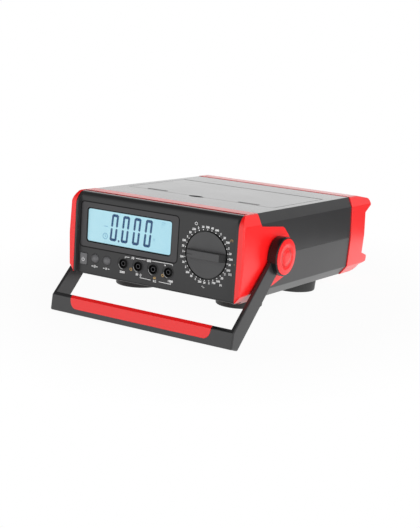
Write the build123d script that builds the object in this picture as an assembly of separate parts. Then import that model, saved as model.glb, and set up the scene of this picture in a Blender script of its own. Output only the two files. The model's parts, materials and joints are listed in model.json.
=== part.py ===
from build123d import *
import math
import os

# Bench multimeter in a two-shell case with moulded end bumpers and a carrying handle.
# Body frame: X to the right, Y from the front panel to the back, Z up from the case bottom.
# The last step stands the meter on its handle bar and rear feet, as it is used on a bench.

# Case section seen from the front: its widest half width, and how far it draws in at four more heights
case_height = 90.0
parting_height = 44.6
shoulder_drop = 10.8
skirt_rise = 10.3
waist_half_width = 107.7
top_draw = 6.1
shoulder_draw = 1.4
skirt_draw = 1.8
base_draw = 10.1
wall = 2.5

# Case lengths from the panel face backwards
lip_depth = 10.5
band_width = 7.1
shell_length = 217.0
rear_frame_depth = 35.5
ear_reach = 14.3

# Bumpers
bumper_proud = 1.3
band_proud = 0.4
bumper_corner_radius = 3.0
nose_length = 4.7
nose_edge_radius = 2.0
nose_top_radius = 16.0
nose_bottom_radius = 6.0
cheek_width = 8.0
cheek_top_depth = 9.6
wing_notch_depth = 11.0
wing_drop = 15.2
wing_shoulder_drop = 14.8
wing_rear = 89.5
wing_corner_radius = 10.0
frame_thickness = 7.0
ear_width = 27.0
ear_top_drop = 4.8
ear_tip_drop = 12.4
ear_root_drop = 20.0
lower_ear_top = 18.0
lower_ear_bottom = 11.0
bumper_top_depth = 17.9
bumper_bottom_depth = 24.0
bumper_window_height = 25.0

# Front panel
panel_bottom = 1.3
panel_thickness = 2.5
panel_top_radius = 7.0
panel_bottom_radius = 2.2
panel_gap = 0.1
panel_rib_width = 3.4
panel_rib_taper = 1.4
panel_rib_setback = 0.3
post_radius = 2.6
post_screw_radius = 1.1
post_screw_depth = 8.0
post_inset = 3.5
low_post_x = -48.0

# Display, between the panel's left edge and the dial
window_side_margin = 12.6
window_to_dial = 43.1
window_bottom = 37.4
window_drop = 16.9
window_radius = 3.0
bezel_side_border = 8.5
bezel_end_border = 6.2
bezel_radius = 4.0
bezel_thickness = 1.5
bezel_reveal = 0.45
bezel_flare = 25
lens_lap = 2.9
lens_thickness = 1.5
glass_lap = 2.0
glass_thickness = 2.2
backlight_thickness = 3.0
lcd_frame_lap = 3.6
lcd_frame_wall = 1.4
lcd_frame_rim = 6.0
lcd_post_radius = 1.8

# Input jacks
jack_pitch = 19.05
jack_count = 4
jack_from_hold = 21.5
jack_height = 20.4
jack_radius = 5.1
jack_bore_radius = 2.0
jack_tube_wall = 0.5
jack_bore_depth = 20.0
jack_proud = 0.8
jack_collar_wall = 0.7
jack_shroud_wall = 0.5
jack_well_depth = 12.0
jack_pin_radius = 1.3
jack_dish_width = 2.2
jack_dish_depth = 0.45

# Rotary dial
dial_side_margin = 38.3
dial_height = 45.1
dial_radius = 23.8
dial_disc = 2.0
dial_proud = 0.2
dial_recess_gap = 1.1
dial_recess_depth = 2.2
dial_floor = 2.3
grip_width = 8.0
grip_height = 6.0
grip_end_slope = 4.6
pointer_length = 5.0
pointer_width = 1.0
dial_shaft_radius = 3.0
shaft_clearance = 0.06
bush_wall = 3.0
bush_rear = 11.0
rotor_setback = 6.5
detent_count = 32
rotor_radius = 19.0
rotor_thickness = 3.0
ball_radius = 1.2
ball_clearance = 0.1
ball_bore_inner = 8.0
crest_clearance = 0.5
notch_radius = 1.4
notch_offset = 0.3
ring_wall = 3.9
ring_lead = 0.5
wiper_radii = (8.0, 12.0, 16.0)
wiper_strip = 0.5
wiper_width = 2.8

# Push buttons
power_side_margin = 10.2
power_height = 17.9
power_width = 9.0
power_tall = 12.4
power_proud = 1.0
light_from_power = 15.0
hold_from_light = 15.7
button_height = 20.0
button_radius = 4.7
button_proud = 0.4
button_dome = 1.6
button_travel = 1.5
power_travel = 2.5
button_gap = 0.3
button_wall = 4.0
flange_thickness = 1.2
flange_overlap = 1.2
stem_radius = 1.6
switch_width = 6.0
switch_depth = 4.0
power_switch_width = 8.0
power_switch_front = 12.0
power_switch_bore = 4.0
power_bore_rear = 20.0
plunger_width = 3.4

# Boards
board_thickness = 1.6
board_setback = 22.0
board_side_margin = 6.0
board_margin = 4.0
board_screw_head = 2.2

# Storage compartment and lid in the case top
lid_side_margin = 9.6
lid_front = 77.0
hinge_setback = 186.0
lid_thickness = 2.2
lid_gap = 0.4
lid_rib_count = 4
lid_rib_pitch = 40.0
lid_rib_width = 1.6
lid_rib_depth = 2.5
lid_rib_front = 12.0
lid_rib_rear = 8.0
hinge_radius = 2.0
hinge_pin_radius = 1.0
hinge_pin_length = 7.5
hinge_pin_gap = 0.05
trough_wall = 5.0
tray_depth = 37.0
tray_wall = 1.8
tray_rim = 3.0
tray_lap = 2.5
tray_hinge_gap = 1.6
finger_depth = 8.0
notch_x = -2.5
notch_width = 17.5
notch_depth = 4.0

# Battery compartment in the case bottom: two rows of three cells
cell_radius = 13.1
cell_length = 50.0
cells_per_row = 3
cell_gap = 1.2
cell_lift = 1.6
cell_cap_radius = 2.8
cell_cap_length = 1.8
battery_wall = 1.8
battery_centre = 126.0
battery_end_room = 2.4
battery_side_room = 1.0
battery_top_room = 2.2
spring_radius = 5.0
spring_wire = 1.0
contact_half = 8.0
contact_thickness = 0.5
door_gap = 0.4
door_inset = 0.3
door_tongue_half = 8.0
door_tongue_length = 5.4
door_screw_setback = 6.0
door_screw_length = 10.0
grip_rib_count = 7
grip_rib_pitch = 2.4
grip_rib_width = 1.0
grip_rib_depth = 0.6
grip_rib_half = 14.0

# Feet
foot_side_margin = 32.2
front_foot_y = 66.4
rear_foot_y = 185.3
foot_radius = 25.6
foot_taper = 1.2
foot_height = 14.7
foot_edge_radius = 1.2
foot_recess_radius = 7.0
foot_floor = 4.0
foot_tread_outer = 5.0
foot_tread_inner = 9.0
foot_tread_depth = 1.2
foot_screw_head = 3.8
foot_screw_head_height = 2.2

# Handle, in its own plane: u runs from the pivot to the bar, v across the arm
pivot_y = 61.8
pivot_height = 44.8
handle_drop = 44.4
hub_radius = 20.1
hub_width = 10.6
hub_clearance = 0.4
cap_radius = 18.8
cap_edge = 0.4
cap_dome = 1.3
cap_inset = 0.6
cap_fit = 0.1
cap_ring_radius = 9.6
cap_ring_width = 0.5
cap_ring_depth = 0.35
hub_chamfer = 0.8
arm_thickness = 4.1
arm_clearance = 1.0
arm_upper = 10.0
arm_lower = 8.3
bar_upper = 11.7
bar_lower = 10.2
bar_top_reach = 106.8
bar_nose_length = 12.9
bar_nose_side = 1.3
bar_heel_length = 6.4
bar_inner_depth = 3.8
bar_end_radius = 2.0
bar_corner_radius = 1.5
inlay_depth = 1.3
inlay_proud = 0.35
inlay_share = 0.66
inlay_end_margin = 26.1
inlay_end_slope = 13.0
bush_radius = 7.0
bush_flange = 3.0
bush_reach = 4.0
screw_shank_radius = 3.0
screw_head_radius = 6.5
screw_head_height = 2.2
screw_head_gap = 0.2
screw_well_depth = 3.8

# Rear panel and mains inlet
rear_panel_setback = 13.0
inlet_x = -58.0
inlet_height = 42.0
inlet_width = 27.0
inlet_tall = 32.0
socket_width = 24.4
socket_tall = 16.6
socket_depth = 17.0
pin_length = 12.0
inlet_flange = 2.5
inlet_flange_thickness = 2.0
inlet_back = 3.0
socket_top_margin = 1.8
pin_width = 2.0
pin_tall = 4.0
pin_tail = 8.0
pin_places = [(-7.0, -2.0), (0.0, 2.0), (7.0, -2.0)]
drawer_width = 21.0
drawer_tall = 7.0
drawer_gap = 0.3
drawer_bottom_margin = 2.6
drawer_wall = 2.0
drawer_back = 0.6
drawer_tray_length = 6.4
mains_fuse_radius = 2.6
mains_fuse_length = 20.0
vent_left = 8.0
vent_count = 9
vent_pitch = 7.0
vent_width = 2.6
vent_tall = 30.0

# Fasteners
boss_radius = 4.0
case_screw_radius = 1.6
case_screw_head = 3.0
boss_side_margin = 11.6
boss_setback = 18.0

# Parts on the main board: left and right edge, low and high edge below the case top, height
board_chips = [(-60.0, -38.0, 46.0, 24.0, 3.0), (-20.0, -6.0, 40.0, 32.0, 2.2),
               (8.0, 22.0, 34.0, 16.0, 9.0), (-84.0, -74.0, 30.0, 16.0, 4.0)]
board_can_x = -30.0
board_can_drop = 16.0
board_can_radius = 3.0
board_can_height = 8.0
input_fuse_places = [(-32.0, 30.0), (12.0, 30.0)]
input_fuse_radius = 3.2
input_fuse_length = 32.0
input_fuse_lift = 6.0
clip_offset = 13.0
clip_width = 5.0
clip_height = 8.5
clip_half = 4.0
clip_wall = 1.4

# Power supply, on posts behind the battery box
power_board_left = -80.0
power_board_right = 14.0
power_board_length = 32.0
power_board_inset = 10.0
power_board_height = 8.0
power_post_radius = 2.6
power_post_inset = 4.0
capacitor_radius = 6.5
capacitor_height = 21.0
small_capacitor_radius = 5.0
small_capacitor_height = 17.0
relay_width = 16.0
relay_height = 12.0
heat_sink_width = 10.0
heat_sink_thickness = 5.0
heat_sink_height = 16.0
transformer_x = 48.0
transformer_width = 48.0
transformer_height = 40.0
transformer_stack = 18.0
transformer_inset = 12.0
transformer_limb = 8.0
coil_overhang = 8.0

# Places that follow from the values above
top_half_width = waist_half_width - top_draw
shoulder_half_width = waist_half_width - shoulder_draw
skirt_half_width = waist_half_width - skirt_draw
base_half_width = waist_half_width - base_draw
shell_front = lip_depth + band_width
shell_rear = shell_front + shell_length
frame_rear = shell_rear + rear_frame_depth
ear_rear = frame_rear + ear_reach
bumper_half_width = waist_half_width + bumper_proud
wing_top = case_height - wing_drop
panel_half_width = bumper_half_width - cheek_width
panel_top = case_height - panel_gap * 3
dial_x = panel_half_width - dial_side_margin
window_left = window_side_margin - panel_half_width
window_right = dial_x - window_to_dial
window_top = case_height - window_drop
power_x = power_side_margin - panel_half_width
light_x = power_x + light_from_power
hold_x = light_x + hold_from_light
jack_centres = [hold_x + jack_from_hold + i * jack_pitch for i in range(jack_count)]
jack_tube_radius = jack_bore_radius + jack_tube_wall
lens_front = bezel_thickness + panel_gap
glass_front = lens_front + lens_thickness + bezel_reveal
backlight_front = glass_front + glass_thickness
backlight_rear = backlight_front + backlight_thickness
board_front = board_setback
board_rear = board_front + board_thickness
board_half_width = panel_half_width - board_side_margin
button_rear = panel_thickness + 1.5
flange_front = panel_thickness + panel_gap
dial_floor_rear = dial_recess_depth + dial_floor
shaft_front = -dial_proud - grip_height / 2
rotor_front = board_front - rotor_setback
rotor_middle = rotor_front + rotor_thickness / 2
detent_crest_radius = rotor_radius + crest_clearance
lid_half_width = top_half_width - lid_side_margin
lid_bottom = case_height - lid_thickness
opening_front = lid_front - lid_gap
opening_rear = hinge_setback + hinge_radius + lid_gap
opening_half_width = lid_half_width + lid_gap
hinge_height = case_height - hinge_radius
trough_half_width = opening_half_width + trough_wall
tray_top = case_height - wall
tray_bottom = tray_top - tray_depth
tray_rear = hinge_setback - hinge_radius - lid_gap - tray_hinge_gap
cells_half_length = cells_per_row * cell_length / 2 + battery_end_room
rows_half_width = 2 * cell_radius + cell_gap / 2 + battery_side_room
cell_height = wall + cell_radius + cell_lift
door_screw_y = battery_centre + rows_half_width + door_screw_setback
foot_x = base_half_width - foot_side_margin
case_boss_x = base_half_width - boss_side_margin
foot_positions = [(x, y) for y in (front_foot_y, rear_foot_y) for x in (-foot_x, foot_x)]
hub_inner = bumper_half_width + hub_clearance
hub_outer = hub_inner + hub_width
arm_inner = bumper_half_width + arm_clearance
arm_outer = arm_inner + arm_thickness
pivot_screw_outer = hub_outer - cap_inset - screw_head_gap
pivot_screw_inner = pivot_screw_outer - screw_head_height
inlay_half_length = arm_outer - inlay_end_margin
bar_nose_reach = bar_top_reach + bar_nose_length
bar_heel_reach = bar_top_reach + bar_heel_length
bar_inner_reach = bar_top_reach - bar_inner_depth
rear_panel_front = shell_rear + rear_panel_setback
rear_panel_rear = rear_panel_front + wall
inlet_face = rear_panel_rear + inlet_flange_thickness
socket_height = inlet_height + inlet_tall / 2 - socket_top_margin - socket_tall / 2
drawer_height = inlet_height - inlet_tall / 2 + drawer_bottom_margin + drawer_tall / 2
drawer_front = rear_panel_rear - socket_depth - drawer_back
power_board_rear = shell_rear - power_board_inset


# ---------------------------------------------------------------- helpers
def block(x0, x1, y0, y1, z0, z1):
    return Pos((x0 + x1) / 2, (y0 + y1) / 2, (z0 + z1) / 2) * Box(x1 - x0, y1 - y0, z1 - z0)


def rod_x(y, z, radius, x0, x1):
    return Pos((x0 + x1) / 2, y, z) * Rot(0, 90, 0) * Cylinder(radius, abs(x1 - x0))


def rod_y(x, z, radius, y0, y1):
    return Pos(x, (y0 + y1) / 2, z) * Rot(90, 0, 0) * Cylinder(radius, y1 - y0)


def rod_z(x, y, radius, z0, z1):
    return Pos(x, y, (z0 + z1) / 2) * Cylinder(radius, z1 - z0)


def face_of(points):
    return make_face(Polyline(*points, close=True))


def front_plane(y):
    """Plane facing the user at depth y: its own x and y are the body's X and Z."""
    return Plane(origin=(0, y, 0), x_dir=(1, 0, 0), z_dir=(0, -1, 0))


def along_y(outline, y0, y1):
    return extrude(front_plane(y1) * outline, amount=y1 - y0)


def along_x(outline, x0, x1):
    return extrude(Plane(origin=(x0, 0, 0), x_dir=(0, 1, 0), z_dir=(1, 0, 0)) * outline, amount=x1 - x0)


def rounded(width, height, radius, x=0.0, z=0.0):
    return Pos(x, z) * RectangleRounded(width, height, radius)


def both_sides(shape):
    return shape + mirror(shape, about=Plane.YZ)


def union(shapes):
    result = shapes[0]
    for shape in shapes[1:]:
        result = result + shape
    return result


# ---------------------------------------------------------------- case
def section(grow_side=0.0, grow_flat=0.0):
    """Six-sided section of the case, grown on its sides and on its flat faces."""
    right = [
        (top_half_width + grow_side, case_height + grow_flat),
        (shoulder_half_width + grow_side, case_height - shoulder_drop),
        (waist_half_width + grow_side, parting_height),
        (skirt_half_width + grow_side, skirt_rise),
        (base_half_width + grow_side, -grow_flat),
    ]
    left = [(-x, z) for x, z in reversed(right)]
    return face_of(right + left)


def inner_section():
    return offset(section(), amount=-wall, kind=Kind.INTERSECTION)


def shell_tube():
    outer = along_y(section(), shell_front, shell_rear)
    return outer - along_y(inner_section(), shell_front - 1, shell_rear + 1)


def boss_places():
    front_y = shell_front + boss_setback
    rear_y = shell_rear - 2 * boss_radius
    return [(x, y) for y in (front_y, rear_y) for x in (-case_boss_x, case_boss_x)]


def pivot_holes():
    inner = waist_half_width - bush_radius - bush_reach
    return both_sides(rod_x(pivot_y, pivot_height, bush_radius, inner, hub_outer))


def make_case_top():
    reach = 2 * waist_half_width
    shell = shell_tube() & block(-reach, reach, 0, shell_rear + 1, parting_height, case_height + 1)
    for x, y in boss_places():
        shell += rod_z(x, y, boss_radius, parting_height, case_height - wall)
    trough_low = hinge_height - hinge_radius - lid_gap
    shell += block(-trough_half_width, trough_half_width, tray_rear + 0.2, opening_rear + wall,
                   trough_low - wall, case_height - wall)
    for x, y in boss_places():
        shell -= rod_z(x, y, case_screw_radius, parting_height - 1, case_height - wall - boss_radius)
    opening = block(-opening_half_width, opening_half_width, opening_front, hinge_setback,
                    case_height - wall - 0.1, case_height + 1)
    opening += block(-opening_half_width, opening_half_width, tray_rear - 3, opening_rear, trough_low, case_height + 1)
    shell -= opening
    pin_reach = trough_half_width - 1
    shell -= rod_x(hinge_setback, hinge_height, hinge_pin_radius, -pin_reach, pin_reach)
    return shell - pivot_holes()


def make_case_bottom():
    reach = 2 * waist_half_width
    shell = shell_tube() & block(-reach, reach, 0, shell_rear + 1, -1, parting_height)
    for x, y in boss_places():
        shell += rod_z(x, y, boss_radius, wall, parting_height)
    for x, y in power_post_places():
        shell += rod_z(x, y, power_post_radius, wall, power_board_height)
    shell += rod_z(0, door_screw_y, boss_radius, wall / 2, door_screw_length + 2)
    door_half = cells_half_length + door_gap
    rows = rows_half_width + door_gap
    shell -= block(-door_half, door_half, battery_centre - rows, battery_centre + rows, -1, wall + 0.1)
    tongue = door_tongue_half + door_gap
    shell -= block(-tongue, tongue, battery_centre, door_screw_y + door_tongue_length + door_gap + 0.2, -1, wall / 2)
    shell -= rod_z(0, door_screw_y, case_screw_radius, -1, door_screw_length + 1)
    for x, y in boss_places():
        shell -= rod_z(x, y, case_screw_radius + 0.2, -1, parting_height + 1)
        shell -= rod_z(x, y, case_screw_head + 0.3, -1, 6)
    for x, y in foot_positions:
        shell -= rod_z(x, y, case_screw_radius, -1, wall + 1)
    return shell - pivot_holes()


def make_case_screws():
    screws = []
    for x, y in boss_places():
        head = rod_z(x, y, case_screw_head, 3.2, 6)
        slot = block(x - 2.2, x + 2.2, y - 0.4, y + 0.4, 3, 4.2)
        screws.append(head - slot + rod_z(x, y, case_screw_radius, 6, parting_height + 18))
    return screws


# ---------------------------------------------------------------- bumpers
def bumper_outline():
    return section(bumper_proud, band_proud)


def bumper_section():
    """Bumper outline with every corner rounded but the blunt one at the parting."""
    outline = bumper_outline()
    return fillet([v for v in outline.vertices() if abs(v.Y - parting_height) > 1], bumper_corner_radius)


def front_side_outline():
    """Side view of the front bumper: cheek, notch and the wing round the handle hub."""
    top = case_height + 2
    nose = [(-nose_length, -2.0), (-nose_length, top)]
    notch = [(shell_front + cheek_top_depth, top), (shell_front + wing_notch_depth, wing_top + 2.6)]
    shoulder = wing_top - wing_shoulder_drop
    wing = [(wing_rear - 14.5, wing_top - 2.0), (wing_rear, shoulder), (wing_rear - 7.5, 19.5)]
    lower = [(62.5, 13.8), (26.0, 6.6), (24.0, -2.0)]
    outline = face_of(nose + notch + wing + lower)
    roundings = [(nose[0], nose_bottom_radius), (nose[1], nose_top_radius), (notch[1], 3.0),
                 (wing[0], wing_corner_radius), (wing[1], wing_corner_radius), (wing[2], 3.0)]
    for (y, z), radius in roundings:
        corner = outline.vertices().sort_by_distance((y, z, 0))[0]
        outline = fillet(corner, radius)
    return outline


def make_front_bumper():
    prism = along_y(bumper_section(), -nose_length, wing_rear + 1)
    prism = fillet(prism.faces().sort_by(Axis.Y)[0].edges(), nose_edge_radius)
    reach = bumper_half_width + 5
    body = prism & along_x(front_side_outline(), -reach, reach)
    recess_half = panel_half_width + panel_gap
    body -= block(-recess_half, recess_half, -nose_length - 1, lip_depth, -3, case_height + 3)
    hollow_half = panel_half_width - panel_thickness
    body -= block(-hollow_half, hollow_half, 0, shell_front + 1,
                  panel_bottom + panel_thickness, panel_top - panel_thickness)
    body -= along_y(section(), shell_front, wing_rear + 2)
    return body - pivot_holes()


def rear_side_outline():
    """Side view of the rear bumper with its upper and lower ears."""
    upper = [(ear_rear, case_height - ear_top_drop), (ear_rear, case_height - ear_tip_drop)]
    lower = [(ear_rear - 0.6, lower_ear_top), (ear_rear - 0.6, lower_ear_bottom)]
    outline = face_of([
        (shell_rear, -2.0), (shell_rear, case_height + 2), (shell_rear + bumper_top_depth - 10, case_height + 2),
        (shell_rear + bumper_top_depth, case_height + band_proud), *upper,
        (frame_rear + 0.6, case_height - ear_root_drop), (frame_rear, lower_ear_top + 4.4), *lower,
        (frame_rear - 1.3, 8.2), (frame_rear - 1.5, 4.2), (frame_rear - 5.0, 1.3), (frame_rear - 22.0, -2.0),
    ])
    for (y, z), radius in ((upper[0], 6.5), (upper[1], 3.0), (lower[0], 3.2), (lower[1], 2.8)):
        outline = fillet(outline.vertices().sort_by_distance((y, z, 0))[0], radius)
    return outline


def rear_bumper_opening(shrink=0.0):
    return offset(bumper_outline(), amount=-frame_thickness - shrink, kind=Kind.INTERSECTION)


def make_rear_bumper():
    reach = bumper_half_width + 5
    body = along_y(bumper_section(), shell_rear, ear_rear) & along_x(rear_side_outline(), -reach, reach)
    body -= along_y(rear_bumper_opening(), shell_rear - 1, ear_rear + 1)
    span = bumper_half_width - ear_width
    body -= block(-span, span, shell_rear + bumper_top_depth, ear_rear + 1,
                  case_height - bumper_window_height, case_height + 3)
    body -= block(-span, span, shell_rear + bumper_bottom_depth, ear_rear + 1, -3, bumper_window_height)
    ledge = along_y(rear_bumper_opening(), rear_panel_front - 3, rear_panel_front)
    return body + (ledge - along_y(rear_bumper_opening(4.0), shell_rear, rear_panel_rear + 5))


# ---------------------------------------------------------------- front panel
def bezel_outline(gap=0.0):
    width = window_right - window_left + bezel_side_border * 2
    height = window_top - window_bottom + bezel_end_border * 2
    x = (window_left + window_right) / 2
    z = (window_bottom + window_top) / 2
    return rounded(width + 2 * gap, height + 2 * gap, bezel_radius + gap, x, z)


def window_outline(grow=0.0):
    width = window_right - window_left + 2 * grow
    height = window_top - window_bottom + 2 * grow
    x = (window_left + window_right) / 2
    z = (window_bottom + window_top) / 2
    return rounded(width, height, window_radius, x, z)


def panel_posts():
    low = panel_bottom + panel_thickness + post_inset
    high = panel_top - panel_thickness - post_inset - 1
    side = panel_half_width - panel_thickness - post_inset
    return [(-side, high), (side, high), (side, low), (low_post_x, low)]


def panel_slab(front, top_radius, bottom_radius):
    """Slab behind the plane y = front, its upper and lower front edges rounded."""
    slab = block(-panel_half_width, panel_half_width, front, lip_depth, panel_bottom, panel_top)
    top_edge = slab.edges().filter_by(Axis.X).sort_by(lambda e: e.center().Z - e.center().Y)[-1]
    slab = fillet(top_edge, top_radius)
    low_edge = slab.edges().filter_by(Axis.X).sort_by(lambda e: e.center().Z + e.center().Y)[0]
    return fillet(low_edge, bottom_radius)


def panel_ribs():
    """Ribs down both sides of the panel, which come forward beside the bumper's cheeks."""
    front = panel_rib_setback - nose_length
    foot = panel_half_width - panel_rib_width
    crest = foot + panel_rib_taper
    slab = panel_slab(front, nose_top_radius - 1.5, nose_bottom_radius - 1.5)
    slab &= block(-panel_half_width, panel_half_width, front - 1, 1, 0, case_height)
    between = face_of([(-foot, 2), (-foot, 0), (-crest, front - 1), (crest, front - 1), (foot, 0), (foot, 2)])
    return slab - extrude(between, amount=case_height + 2)


def make_front_panel():
    panel = panel_slab(0, panel_top_radius, panel_bottom_radius) + panel_ribs()
    panel &= along_y(bumper_section(), -nose_length, lip_depth)
    hollow = panel_half_width - panel_thickness
    panel -= block(-hollow, hollow, panel_thickness, lip_depth + 1,
                   panel_bottom + panel_thickness, panel_top - panel_top_radius)
    panel -= block(-hollow, hollow, panel_top_radius, lip_depth + 1,
                   panel_top - panel_top_radius - 1, panel_top - panel_thickness)
    for x, z in panel_posts():
        panel += rod_y(x, z, post_radius, panel_thickness, board_front)
    panel -= along_y(bezel_outline(bezel_reveal), -1, bezel_thickness + panel_gap)
    panel -= along_y(window_outline(lens_lap + panel_gap), -1, panel_thickness + 1)
    for x in jack_centres:
        panel -= rod_y(x, jack_height, jack_radius, -1, panel_thickness + 1)
        panel -= rod_y(x, jack_height, jack_radius + jack_dish_width, -1, jack_dish_depth)
        rim = rod_y(x, jack_height, jack_radius + jack_dish_width / 2, 0, jack_dish_depth)
        panel += rim - rod_y(x, jack_height, jack_radius, -1, 1)
    recess_radius = dial_radius + dial_recess_gap
    panel += rod_y(dial_x, dial_height, recess_radius + panel_thickness, panel_thickness, dial_floor_rear)
    panel -= rod_y(dial_x, dial_height, recess_radius, -1, dial_recess_depth)
    panel -= rod_y(dial_x, dial_height, dial_shaft_radius + 0.5, -1, dial_floor_rear + 1)
    for x in (light_x, hold_x):
        panel -= rod_y(x, button_height, button_radius + button_gap, -1, panel_thickness + 1)
    opening = rounded(power_width + 2 * button_gap, power_tall + 2 * button_gap, 0.9, power_x, power_height)
    panel -= along_y(opening, -1, panel_thickness + 1)
    for x, z in panel_posts():
        panel -= rod_y(x, z, post_screw_radius, board_front - post_screw_depth, board_front + 1)
    return panel


def make_display_bezel():
    bezel = along_y(bezel_outline(), panel_gap, lens_front)
    opening = extrude(front_plane(lens_front + 0.01) * window_outline(), amount=lens_front + 0.1, taper=-bezel_flare)
    return bezel - opening


def make_display_window():
    return along_y(window_outline(lens_lap), lens_front, lens_front + lens_thickness)


def lcd_block(grow, y0, y1):
    return block(window_left - grow, window_right + grow, y0, y1, window_bottom - grow, window_top + grow)


def make_lcd_glass():
    return lcd_block(glass_lap, glass_front, backlight_front)


def make_lcd_backlight():
    return lcd_block(glass_lap, backlight_front, backlight_rear)


def make_lcd_frame():
    rear = backlight_rear + lcd_frame_wall
    frame = lcd_block(lcd_frame_lap, panel_thickness, rear)
    frame -= lcd_block(glass_lap, 0, backlight_rear)
    frame -= lcd_block(-lcd_frame_rim, 0, rear + 1)
    for x in (window_left, (window_left + window_right) / 2, window_right):
        for z in (window_bottom - 1, window_top + 1):
            frame += rod_y(x, z, lcd_post_radius, rear, board_front)
    return frame - lcd_block(lens_lap, 0, lens_front + lens_thickness)


def make_main_board():
    height = panel_top - board_margin
    board = block(-board_half_width, board_half_width, board_front, board_rear, panel_bottom + board_margin, height)
    board -= rod_y(dial_x, dial_height, dial_shaft_radius + 1.0, board_front - 1, board_rear + 1)
    for x in jack_centres:
        board -= rod_y(x, jack_height, jack_pin_radius, board_front - 1, board_rear + 1)
    for x, z in panel_posts():
        board -= rod_y(x, z, post_screw_radius, board_front - 1, board_rear + 1)
    return board


def make_board_screws():
    tip = board_front - post_screw_depth + 1
    head = board_rear + board_thickness
    return [rod_y(x, z, post_screw_radius, tip, board_rear) + rod_y(x, z, board_screw_head, board_rear, head)
            for x, z in panel_posts()]


def make_board_parts():
    parts = [block(x0, x1, board_rear, board_rear + rise, case_height - low, case_height - high)
             for x0, x1, low, high, rise in board_chips]
    can_z = case_height - board_can_drop
    return parts + [rod_y(board_can_x, can_z, board_can_radius, board_rear, board_rear + board_can_height)]


# ---------------------------------------------------------------- jacks, fuses, switches
def make_jack_sleeves():
    sleeves = []
    for x in jack_centres:
        sleeve = rod_y(x, jack_height, jack_radius, -jack_proud, board_front)
        sleeve -= rod_y(x, jack_height, jack_radius - jack_collar_wall, -jack_proud - 1, jack_well_depth)
        sleeve += rod_y(x, jack_height, jack_tube_radius + jack_shroud_wall, 0.2, jack_well_depth + 1)
        sleeves.append(sleeve - rod_y(x, jack_height, jack_tube_radius, -2, board_front + 1))
    return sleeves


def make_jack_contacts():
    contacts = []
    for x in jack_centres:
        tube = rod_y(x, jack_height, jack_tube_radius, 0.0, board_front)
        tube -= rod_y(x, jack_height, jack_bore_radius, -1, jack_bore_depth)
        contacts.append(tube + rod_y(x, jack_height, jack_pin_radius, board_front, board_rear + 1.5))
    return contacts


def input_fuse_rod(x, z, half_length):
    return rod_x(board_rear + input_fuse_lift, z, input_fuse_radius, x - half_length, x + half_length)


def make_input_fuses():
    return [input_fuse_rod(x, z, input_fuse_length / 2) for x, z in input_fuse_places]


def make_fuse_clips():
    clips = []
    for x, z in input_fuse_places:
        for middle in (x - clip_offset, x + clip_offset):
            left, right = middle - clip_width / 2, middle + clip_width / 2
            clip = block(left, right, board_rear, board_rear + clip_height, z - clip_half, z + clip_half)
            clip -= input_fuse_rod(middle, z, clip_width)
            inner = clip_half - clip_wall
            clip -= block(left - 1, right + 1, board_rear + clip_wall, board_rear + clip_height + 1,
                          z - inner, z + inner)
            clips.append(clip)
    return clips


def make_button_switches():
    half = switch_width / 2
    return [block(x - half, x + half, board_front - switch_depth, board_front,
                  button_height - half, button_height + half) for x in (light_x, hold_x)]


def make_power_switch():
    half = power_switch_width / 2
    body = block(power_x - half, power_x + half, power_switch_front, board_front,
                 power_height - half, power_height + half)
    half = power_switch_bore / 2
    return body - block(power_x - half, power_x + half, power_switch_front - 1, power_bore_rear,
                        power_height - half, power_height + half)


def push_button(x):
    base = rod_y(x, button_height, button_radius, -button_proud, button_rear)
    sphere_radius = (button_radius ** 2 + button_dome ** 2) / (2 * button_dome)
    crest = -button_proud - button_dome
    dome = Pos(x, crest + sphere_radius, button_height) * Sphere(sphere_radius)
    dome = dome & rod_y(x, button_height, button_radius, crest - 1, 0)
    flange = rod_y(x, button_height, button_radius + flange_overlap, flange_front, flange_front + flange_thickness)
    stem_rear = board_front - switch_depth - button_travel - button_gap
    return base + dome + flange + rod_y(x, button_height, stem_radius, flange_front, stem_rear)


def make_power_button():
    cap = along_y(rounded(power_width, power_tall, 0.8, power_x, power_height), -power_proud, button_rear)
    cap = fillet(cap.faces().sort_by(Axis.Y)[0].edges(), 0.5)
    side = power_width / 2 + flange_overlap / 2
    end = power_tall / 2 + flange_overlap
    return cap + block(power_x - side, power_x + side, flange_front, flange_front + flange_thickness,
                       power_height - end, power_height + end)


def make_power_plunger():
    half = plunger_width / 2
    return block(power_x - half, power_x + half, button_rear, power_bore_rear - power_travel - 0.5,
                 power_height - half, power_height + half)


# ---------------------------------------------------------------- dial
def make_dial_knob():
    disc = rod_y(dial_x, dial_height, dial_radius, -dial_proud, dial_disc - dial_proud)
    disc = chamfer(disc.faces().sort_by(Axis.Y)[0].edges(), 0.4)
    crest = -dial_proud - grip_height
    base = dial_radius - 0.2
    top = base - grip_end_slope
    side = face_of([(-base, 0), (-base, -dial_proud), (-top, crest), (top, crest), (base, -dial_proud), (base, 0)])
    grip = Pos(dial_x, 0, dial_height - grip_width / 2) * extrude(side, amount=grip_width)
    crest_edges = grip.faces().sort_by(Axis.Y)[0].edges()
    knob = disc + fillet(crest_edges, 0.7)
    knob -= block(dial_x - top + 0.8, dial_x - top + 0.8 + pointer_length, crest - 1, crest + 0.5,
                  dial_height - pointer_width / 2, dial_height + pointer_width / 2)
    return knob - rod_y(dial_x, dial_height, dial_shaft_radius, shaft_front, dial_disc)


def make_dial_shaft():
    return rod_y(dial_x, dial_height, dial_shaft_radius, shaft_front, board_rear + 5)


def make_dial_bush():
    bush = rod_y(dial_x, dial_height, dial_shaft_radius + bush_wall, dial_floor_rear, bush_rear)
    bush += rod_y(dial_x, dial_height, dial_shaft_radius + 0.5, dial_recess_depth + 0.2, dial_floor_rear)
    return bush - rod_y(dial_x, dial_height, dial_shaft_radius + shaft_clearance, 0, bush_rear + 1)


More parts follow.
